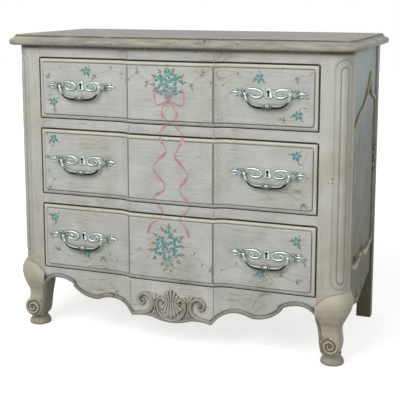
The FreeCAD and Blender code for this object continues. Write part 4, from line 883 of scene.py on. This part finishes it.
def make_apron_carving():
    """Carved shell: ribs pinched at the waist, a border that curls in beside it, tulips and a scroll on each side."""
    bm = bmesh.new()

    def lay(points, steps=5, crest=0.0, rim=0.3):
        strand(bm, smooth_path(points, steps), lambda x, z: board_face(x, z) - 0.1, 12, FOOT_GLAZE_AND_SHADE, crest, rim)

    # Ribs: head, waist and foot of those on the right
    for number, (head, waist, foot) in enumerate((
            ((0, 168), (0, 131), (0, 83)), ((11.2, 161), (5.4, 131), (11.0, 88)),
            ((19.6, 152.0), (10.6, 130), (21.0, 97)), ((26.4, 143.5), (15.2, 129), (29.5, 106.5)))):
        for flip in (-1, 1) if number else (1,):
            def rib(t, low, high):
                return [flip * (low[0] + (high[0] - low[0]) * t), low[1] + (high[1] - low[1]) * t]

            lay([(*rib(0.0, head, waist), 2.6, 2.4), (*rib(0.12, head, waist), 5.4, 5.0),
                 (*rib(0.5, head, waist), 4.3, 5.6), (*rib(0.0, waist, foot), 3.1, 5.2),
                 (*rib(0.45, waist, foot), 4.5, 5.8), (*rib(0.85, waist, foot), 6.6, 5.4),
                 (*rib(1.0, waist, foot), 3.6, 2.6)], 5, 0.0, 0.6)
    for flip in (-1, 1):
        def side(points, steps=5, wide=1.15, crest=0.0):
            lay([(flip * x, z, half * wide, rise) for x, z, half, rise in points], steps, crest)

        # Border of the shell: from a small curl beside the waist round under its foot
        side([(29.5, 128, 2.2, 4.4), (25.5, 125.5, 2.4, 5.4), (22.5, 130, 2.7, 6.0), (26, 137, 3.1, 6.6),
              (34, 138.5, 3.6, 7.0), (40.5, 132, 4.0, 7.2), (43, 120, 4.2, 7.2), (39.5, 104.5, 4.3, 7.0),
              (30.5, 89.5, 4.3, 6.6), (16.5, 79.8, 4.2, 6.2), (-1, 76.4, 4.0, 6.2)], 5, 1.0, 0.22)
        # Curved ribs between the border and the fan
        side([(22, 120, 1.0, 2.0), (28, 117, 2.4, 4.2), (33, 111, 2.4, 4.2), (35, 105, 1.0, 2.0)], 4)
        # Great scroll: along the apron's lip, up beside the shell, over and into its eye
        side([(117, 84.5, 2.4, 3.0), (106, 86, 4.2, 4.6), (92, 88, 4.8, 6.0), (75, 93.5, 5.2, 7.4),
              (62.5, 103.5, 5.4, 8.2), (57, 117.5, 5.4, 8.6), (59, 132, 5.2, 8.6), (68, 143, 5.0, 8.4),
              (81, 147, 4.8, 8.0), (93.5, 141, 4.5, 7.6), (98.2, 130, 4.2, 7.2), (94, 119.5, 3.9, 7.0),
              (85.5, 117.5, 3.5, 6.6), (80.5, 124, 3.2, 6.4), (84, 130, 3.0, 6.2), (89.5, 128.5, 2.6, 5.8)],
             5, 1.15, 0.24)
        # Tulip between the scroll and the shell: three petals, a stalk and two leaves
        for points in (((50.4, 131, 1.4, 4.0), (50.3, 141, 4.2, 6.0), (49.9, 148, 4.4, 5.6), (49.7, 156.5, 0.8, 1.4)),
                       ((48.8, 134, 1.6, 4.0), (43.5, 140.5, 3.4, 5.4), (37.5, 144, 2.8, 4.6), (31.5, 147.5, 0.8, 1.4)),
                       ((52, 134, 1.6, 4.0), (56.5, 143, 3.4, 5.4), (61.5, 149.5, 2.8, 4.6), (68, 155, 0.8, 1.4)),
                       ((50.2, 132, 1.8, 4.0), (49.8, 118, 2.2, 4.4), (49.0, 104, 2.2, 4.2), (48.0, 96, 1.0, 1.6)),
                       ((49, 104, 1.2, 2.4), (45.5, 95, 2.6, 4.0), (43, 86, 0.8, 1.4)),
                       ((49.5, 104, 1.2, 2.4), (53.5, 95, 2.6, 4.0), (58, 89, 0.8, 1.4))):
            side(points, 4)
    finished(bm, "carved_shell_and_scrolls", "case", "leg_paint", ["apron_carving"], CARVING_PAINT, sharp=60)


# Thickness of a brush stroke, reach of a petal, and the length from which a leaf becomes a spray
PAINT_RISE = 0.3
PETAL_REACH = 14.5
SPRAY_LENGTH = 13
# Leaves of a sprig: how far from the flower's eye they begin, and their length
SPRIG_FROM, SPRIG_LEAF = 11, 12
# Points of a stroke along a rail on each side of the middle, and their spacing in the painted shade along the openings
# and in the painted shadow under the top
RAIL_POINTS, GAP_SHADE_STEP, UNDER_TOP_SHADOW_STEP = 67, 6.0, 6.04
brushwork = {}


def stroke(body, brush, points, steps=3):
    """One brush stroke of (x, z, half width) on a drawer's face or on a rail, no thicker than the paint."""
    if (body, brush) not in brushwork:
        brushwork[body, brush] = bmesh.new()
    face = board_face if body == "case" else drawer_face(body)
    path = smooth_path([(x, z, half, PAINT_RISE) for x, z, half in points], steps)
    strand(brushwork[body, brush], path, face, 6)


def flower(body, brush, x, z, size, turn, fourth="pale"):
    """Five petals round a pale eye, the fourth in a brush of its own; size is the reach of a petal."""
    for petal in range(5):
        reach = size * (1.0 - 0.12 * (petal % 2))
        tint = (brush, "teal", brush, fourth, "blue")[petal]
        stroke(body, tint, [(*polar(x, z, far * reach, turn + 72 * petal), half * reach)
                            for far, half in ((0.14, 0.1), (0.45, 0.32), (0.78, 0.36), (1.0, 0.12))], 1)
    stroke(body, "eye", [(x - 0.16 * size, z, 0.06 * size), (x, z, 0.15 * size), (x + 0.16 * size, z, 0.06 * size)], 1)


def leaf(body, x, z, turn, length):
    """One leaf from its stalk to its tip."""
    stroke(body, "leaf", [(*polar(x, z, far * length, turn), half * length)
                          for far, half in ((0.0, 0.04), (0.3, 0.13), (0.65, 0.15), (1.0, 0.03))], 1)


def vine(body, points, leaves):
    """A thin stem with leaves at some of its points: (number of the point, direction, length)."""
    stroke(body, "vine", [(x, z, 0.7) for x, z in points], 5)
    for number, turn, length in leaves:
        x, z = points[number]
        leaf(body, x, z, turn, length)
        if length < SPRAY_LENGTH:
            continue
        # A longer one is a spray: two pairs of leaves and one at the tip
        for far, lean, part in ((0.1, 50, 0.75), (0.1, -50, 0.75), (0.75, 38, 0.65), (0.75, -38, 0.65), (1.1, 0, 0.6)):
            leaf(body, *polar(x, z, far * length, turn), turn + lean, part * length)


def bouquet(body, heads, stalk, rim):
    """Flower heads crowded together on one stalk, with leaves standing out round them."""
    for number, (x, z) in enumerate(heads):
        stroke(body, "vine", [(*stalk, 0.9), ((x + stalk[0]) / 2 + 2, (z + stalk[1]) / 2, 0.8), (x, z, 0.7)], 3)
        flower(body, ("teal", "blue", "teal")[number % 3], x, z, PETAL_REACH - 1.5 * (number % 2), 40 * number)
    for x, z, turn, length in rim:
        leaf(body, x, z, turn, length)
        leaf(body, x, z, turn + 42, 0.6 * length)
        leaf(body, x, z, turn - 38, 0.65 * length)


# Heights between which the ribbon lies on each drawer and rail
BANDS = (("upper", 630.0, 802.0), ("case", 599.6, 626.4), ("middle", 410.0, 596.0), ("case", 379.6, 406.4),
         ("lower", 188.0, 376.0))
# Heights of the rails and the apron between which glaze and painted shade lie in the two creases
CREASES = ((86.0, 185.0), (381.0, 405.0), (601.0, 625.0), (803.0, 833.0))


def ribbon(points, width):
    """A ribbon that turns as it falls: it narrows where it shows its edge, and is cut where the drawers part."""
    run = smooth_path(points, 8)
    for body, low, high in BANDS:
        piece = []
        for at, (x, z) in enumerate(run):
            if low < z < high:
                piece.append((x, z, width * (0.28 + 0.72 * math.sin(0.16 * at + 0.6) ** 2)))
        if len(piece) > 2:
            stroke(body, "ribbon", piece, 1)


def upright(brush, x, low, high, taper, thin, full):
    """A stroke up the case, tapered at both ends."""
    stroke("case", brush, [(x, low, thin), (x, low + taper, full), (x, high - taper, full), (x, high, thin)], 1)


def paint_shade_and_crease_glaze():
    """Painted shade along the openings, painted shadow under the top, and brown glaze with painted shade in the creases
    of the rails.
    """
    steps = range(-RAIL_POINTS, RAIL_POINTS + 1)
    for foot, head in DRAWERS.values():
        # Painted shade in the gap above each drawer and beside it
        above = [(GAP_SHADE_STEP * step, head + 1.0, 0.3 if abs(step) == RAIL_POINTS else 1.0) for step in steps]
        stroke("case", "dirt", above, 1)
        for side in (-1, 1):
            upright("dirt", side * (HALF_OPENING + 0.9), foot, head, 8, 0.3, 0.8)
    # Painted shadow under the top's edge: darkest just under it, thinning out downwards
    for brush, z, half in (("glaze", 831.4, 2.2), ("thin", 827.2, 2.4)):
        stroke("case", brush, [(UNDER_TOP_SHADOW_STEP * step, z, half * (1 + 0.12 * math.sin(1.7 * step))) for step in steps], 1)
    for side in (-1, 1):
        for low, high in CREASES:
            upright("glaze", side * CREASE, low, high, 4, 0.2, 0.6)


# Bouquets: drawer, flower heads, foot of the stalks and leaves round the rim (place, direction, length)
BOUQUETS = (
    ("upper", ((-2, 767), (-29, 750), (24, 748), (-3, 741), (-29, 724), (23, 723), (-16, 759), (12, 733), (12, 760),
               (-16, 733), (-14, 714), (9, 713)), (-3, 700),
     ((-38, 757, 150, 17), (-24, 768, 120, 16), (-6, 775, 95, 17), (10, 772, 70, 16), (30, 757, 40, 18),
      (34, 743, 10, 17), (-40, 738, 185, 17), (-38, 722, 200, 14), (31, 722, -15, 15), (-13, 711, 235, 12),
      (9, 711, -50, 12))),
    ("lower", ((-5, 327), (-28, 309), (20, 307), (-7, 293), (-36, 276), (18, 272), (-9, 259), (-22, 290), (7, 311),
               (-20, 266), (6, 278), (-32, 292), (20, 289)), (-8, 226),
     ((-38, 318, 150, 16), (-20, 333, 115, 16), (-3, 341, 90, 18), (12, 333, 60, 16), (29, 316, 35, 17),
      (30, 295, 0, 16), (-42, 298, 185, 17), (-50, 277, 175, 16), (29, 272, -5, 18), (-41, 259, 215, 16),
      (20, 255, -40, 17), (-20, 245, 240, 15), (4, 244, -60, 15), (-8, 240, 270, 16), (-14, 228, 235, 12),
      (0, 227, -55, 12))))
# Ribbon: the two loops of the bow and its two falling ends, each with its half width
RIBBONS = (
    (((-3, 704), (-20, 716), (-37, 723), (-43, 712), (-41, 696), (-36, 683), (-21, 686), (-5, 702)), 3.8),
    (((-1, 704), (16, 717), (34, 724), (42, 712), (42, 696), (37, 683), (20, 687), (0, 702)), 3.8),
    (((0, 698), (10, 684), (19, 670), (22, 657), (13, 645), (-1, 636), (-20, 620), (-31, 606), (-30, 590), (-15, 571),
      (-10, 555), (-31, 534), (-47, 510), (-34, 487), (-15, 466), (-19, 447), (-43, 432), (-46, 413), (-25, 391),
      (-31, 369), (-57, 348), (-66, 322)), 5.2),
    (((-5, 698), (-15, 684), (-21, 670), (-20, 657), (-10, 645), (3, 636), (21, 620), (33, 606), (36, 588), (21, 559),
      (17, 541), (36, 520), (52, 495), (43, 476), (29, 458), (37, 437), (59, 416), (49, 394), (31, 376), (34, 361),
      (50, 343), (55, 321)), 5.2))
# Sprigs: drawer, brush, place and turn of the flower
SPRIGS = (
    ("upper", "teal", -254, 766, 20), ("upper", "blue", 246, 762, 50), ("upper", "teal", -360, 676, 0),
    ("upper", "teal", 350, 669, 35), ("middle", "blue", 348, 563, 10), ("middle", "teal", -363, 569, 60),
    ("lower", "teal", 352, 336, 25), ("lower", "blue", 255, 238, 45), ("lower", "teal", -366, 341, 5),
    ("lower", "teal", -264, 241, 30))
# Vines: drawer, points of the stem and leaves at some of them (number of the point, direction, length)
VINES = (
    ("upper", ((-386, 773), (-338, 771), (-299, 780), (-268, 772), (-228, 757), (-181, 772), (-152, 760)),
     ((1, 60, 12), (4, 240, 13), (4, 300, 12), (5, 70, 12), (6, 20, 12))),
    ("upper", ((-116, 752), (-92, 764), (-64, 748), (-42, 752)), ((0, 215, 13), (1, 100, 14), (2, 260, 14))),
    ("upper", ((36, 752), (62, 744), (92, 762), (116, 750)), ((1, 285, 14), (2, 75, 14), (3, 320, 13))),
    ("upper", ((152, 748), (188, 766), (226, 758), (262, 770), (306, 780), (346, 768), (382, 774)),
     ((0, 240, 12), (1, 80, 12), (4, 70, 12), (5, 280, 13), (6, 60, 11))),
    ("upper", ((-378, 742), (-366, 716), (-372, 694), (-358, 660)),
     ((0, 60, 13), (1, 160, 12), (2, 20, 11), (3, 290, 13))),
    ("upper", ((378, 742), (370, 712), (374, 688), (352, 660), (318, 655)),
     ((1, 20, 12), (2, 170, 12), (4, 170, 14), (4, 120, 12))),
    ("middle", ((-380, 578), (-370, 548), (-376, 520)), ((0, 120, 11), (1, 20, 12), (2, 200, 13), (2, 260, 12))),
    ("middle", ((378, 575), (366, 540), (374, 504), (362, 470), (368, 440)),
     ((1, 160, 12), (2, 20, 12), (3, 170, 13), (4, 250, 14), (4, 310, 13))),
    ("middle", ((-378, 470), (-366, 452), (-374, 432)), ((0, 100, 12), (1, 20, 12), (2, 230, 13))),
    ("lower", ((-350, 243), (-318, 228), (-286, 238), (-250, 228), (-212, 238), (-170, 226), (-150, 232)),
     ((0, 160, 14), (0, 110, 12), (2, 80, 12), (4, 300, 13), (4, 240, 13), (5, 60, 12))),
    ("lower", ((-116, 256), (-92, 272), (-64, 262)), ((0, 140, 12), (1, 80, 12), (2, 250, 11))),
    ("lower", ((44, 268), (70, 274), (96, 254), (116, 240)), ((1, 70, 12), (2, 250, 12), (3, 300, 13), (3, 40, 12))),
    ("lower", ((152, 240), (186, 252), (226, 236), (272, 226), (310, 236), (352, 226)),
     ((0, 210, 12), (1, 80, 12), (3, 260, 12), (4, 70, 13), (5, 20, 13), (5, 320, 12))),
    ("lower", ((376, 350), (364, 318), (372, 286)), ((1, 160, 12), (2, 20, 12), (2, 290, 13))),
    ("lower", ((-380, 350), (-370, 318), (-378, 292)), ((1, 20, 12), (2, 170, 12), (2, 290, 13))))


def paint_flowers():
    """The flower painting: two bouquets tied by a falling ribbon, with sprigs on the wings of each drawer."""
    bouquet(*BOUQUETS[0])
    for end in ((-9, 676), (-3, 671), (4, 677)):
        stroke("upper", "leaf", [(-3, 702, 1.0), ((end[0] - 3) / 2, 688, 1.1), (*end, 0.5)])
    for points, width in RIBBONS[:2]:
        ribbon(points, width)
    stroke("upper", "knot", [(-14, 703, 1.5), (-3, 704, 5.6), (8, 703, 1.5)])
    stroke("upper", "knot", [(-5, 691, 1.2), (-3, 703, 4.6), (0, 716, 1.2)])
    for points, width in RIBBONS[2:]:
        ribbon(points, width)
    bouquet(*BOUQUETS[1])
    for body, brush, x, z, turn in SPRIGS:
        flower(body, brush, x, z, PETAL_REACH, turn, "teal")
        for third in (0, 120, 240):
            leaf(body, *polar(x, z, SPRIG_FROM, turn + 36 + third), turn + 40 + third, SPRIG_LEAF)
    for body, points, leaves in VINES:
        vine(body, points, leaves)
    for (body, brush), bm in brushwork.items():
        finished(bm, f"{body}_{brush}_brushwork", body if body == "case" else f"{body}_drawer", "front_paint",
                 finish=BRUSHES[brush], sharp=60)


# Face of a side panel, and the middle of its moulding from front to back
SIDE_FACE = 478.0
PANEL_MIDDLE = 36.0
SCALLOP_RISE, CHIP_RISE = 6.2, 0.3
# Carved scallop at the foot of the side moulding: (back, up, half width)
SCALLOP = ((187, 252, 2.5), (152, 244, 9), (114, 238, 14), (76, 244, 9), (45, 256, 2.5))
# Dark places on a side: (back, up, reach); the three at the foot of the moulding are dark patches above its cusps and
# at its back corner, the others are chips in the paint
CHIPS_AND_DARK_PATCHES = ((98, 708, 22), (50, 264, 18), (-66, 263, 19), (180, 264, 9), (56, 146, 11), (-14, 140, 13), (-22, 156, 9))


def make_side_scallops(hand, sign):
    """Two scallops at the foot of a side moulding, and dark chips and patches round them."""
    scallops = [SCALLOP, [(2 * PANEL_MIDDLE - back, up, half) for back, up, half in SCALLOP]]
    dark_flakes = []
    for back, up, reach in CHIPS_AND_DARK_PATCHES:
        for flake in range(5):
            angle, size = 2.4 * flake + back, reach * (0.62 - 0.09 * flake)
            middle = (back + 0.34 * flake * reach * math.cos(angle), up + 0.13 * flake * reach * math.sin(angle))
            dark_flakes.append([(middle[0] + 1.7 * far * size, middle[1] + 0.6 * far * size * math.cos(angle), half * size)
                          for far, half in ((-0.9, 0.12), (-0.35, 0.42), (0.4, 0.5), (0.9, 0.15))])
    for name, paths, rise, finish in (("moulding_scallops", scallops, SCALLOP_RISE, SCALLOP_PAINT),
                                      ("side_chips_and_dark_patches", dark_flakes, CHIP_RISE, CHIPPED_WOOD)):
        bm = bmesh.new()
        for points in paths:
            strand(bm, smooth_path([(back, up, half, rise) for back, up, half in points], 4),
                   flat(-SIDE_FACE), 8, foot=0.3, rim=0.4)
        bmesh.ops.rotate(bm, verts=bm.verts, matrix=Matrix.Rotation(math.pi / 2, 3, "Z"))
        bmesh.ops.scale(bm, verts=bm.verts, vec=(sign, 1.0, 1.0))
        finished(bm, f"{hand}_{name}", "case", "side_paint", finish=finish, sharp=60)


# Camera of the photograph, standing to the right and a little above the top: lengths in pixels of the picture
PICTURE = 400
FOCAL = 901.4
CENTRE_ROW = 140.0
FILM_WIDTH = 36.0
YAW = math.radians(20.237)
PITCH = math.radians(9.251)
CAMERA_PLACE = (0.9075, -2.4477, 0.9797)
lens = bpy.data.cameras.new("camera")
lens.sensor_width = FILM_WIDTH
lens.lens = FOCAL / PICTURE * FILM_WIDTH
lens.shift_y = (CENTRE_ROW - PICTURE / 2) / PICTURE
lens.clip_end = 50.0
camera = bring_in("camera", lens)
camera.location = CAMERA_PLACE
camera.rotation_euler = (math.pi / 2 - PITCH, 0.0, YAW)
bpy.context.scene.camera = camera
bpy.context.scene.view_settings.view_transform = "Standard"

for name in nodes:
    dress(name)
for hand, sign in HANDS:
    nodes[f"{hand}_side_moulding"].data.materials[0] = MOULDING_PAINT
    for drawer in DRAWERS:
        nodes[f"{drawer}_{hand}_pull_posts"].data.materials[0] = POST_METAL
make_apron_bead()
make_apron_carving()
paint_shade_and_crease_glaze()
paint_flowers()
for drawer in DRAWERS:
    make_drawer_front(drawer)
    for hand, sign in HANDS:
        make_backplate(drawer, hand, sign)
        make_bail(drawer, hand, sign)
for hand, sign in HANDS:
    make_front_post(hand, sign)
    make_front_leg(hand, sign)
    make_front_pad(hand, sign)
    make_side_scallops(hand, sign)

# Plain white sweep: the floor keeps the shadow, and shows white where no shadow falls
FLOOR_REACH = 9.0
# How far from the chest the paper begins to whiten and is white, and how white it is close by
WHITE_FROM, WHITE_AT, WHITE_NEAR = 0.7, 2.2, 0.74
# Share of the paper's white that metal reflects, and the light of the room on the chest
PAPER_IN_METAL = 0.5
ROOM_LIGHT = 0.45
bm = bmesh.new()
bmesh.ops.create_grid(bm, x_segments=1, y_segments=1, size=FLOOR_REACH)
floor = bring_in("studio_floor", mesh_of(bm, "studio_floor"))
paper = bpy.data.materials.new("matt_white_paper")
tree = empty_tree(paper)
rays = add(tree, "ShaderNodeLightPath").outputs
seen = reckon(tree, "MULTIPLY_ADD", rays["Is Glossy Ray"], PAPER_IN_METAL, rays["Is Camera Ray"])
away = add(tree, "ShaderNodeVectorMath", {"operation": "LENGTH"}, {
    0: add(tree, "ShaderNodeTexCoord").outputs["Object"]}).outputs["Value"]
lift = reckon(tree, "MULTIPLY", seen, ramp(tree, away, WHITE_FROM, WHITE_AT, WHITE_NEAR, 1.0, "SMOOTHSTEP"))
matt = add(tree, "ShaderNodeBsdfDiffuse", {}, {"Color": linear("#B4B4B2")})
glow = add(tree, "ShaderNodeEmission", {}, {"Color": linear("#FFFFFF"), "Strength": lift})
sheet = add(tree, "ShaderNodeAddShader", {}, {0: matt.outputs["BSDF"], 1: glow.outputs["Emission"]})
add(tree, "ShaderNodeOutputMaterial", {}, {"Surface": sheet.outputs["Shader"]})
floor.data.materials.append(paper)

# White backdrop for the camera and for what metal reflects, and a plain level of light on the chest
world = bpy.data.worlds.new("studio")
bpy.context.scene.world = world
tree = empty_tree(world)
rays = add(tree, "ShaderNodeLightPath").outputs
mirrors = reckon(tree, "MAXIMUM", rays["Is Glossy Ray"], rays["Is Transmission Ray"])
seen = reckon(tree, "MAXIMUM", rays["Is Camera Ray"], mirrors)
sky = add(tree, "ShaderNodeBackground", {}, {
    "Color": linear("#FFFFFF"), "Strength": ramp(tree, seen, 0.0, 1.0, ROOM_LIGHT, 1.0)})
add(tree, "ShaderNodeOutputWorld", {}, {"Surface": sky.outputs["Background"]})


def lamp(name, place, aim, size, power):
    """A soft square lamp that looks at a point."""
    light = bpy.data.lights.new(name, "AREA")
    light.size = size
    light.energy = power
    piece = bring_in(name, light)
    piece.location = place
    piece.rotation_euler = (Vector(aim) - Vector(place)).to_track_quat("-Z", "Y").to_euler()


CHEST_MIDDLE = (0.0, 0.0, 0.4)
lamp("key_lamp", (-0.75, -2.9, 2.75), CHEST_MIDDLE, size=2.0, power=88.0)
lamp("fill_lamp", (2.4, -2.2, 1.6), CHEST_MIDDLE, size=2.0, power=22.0)
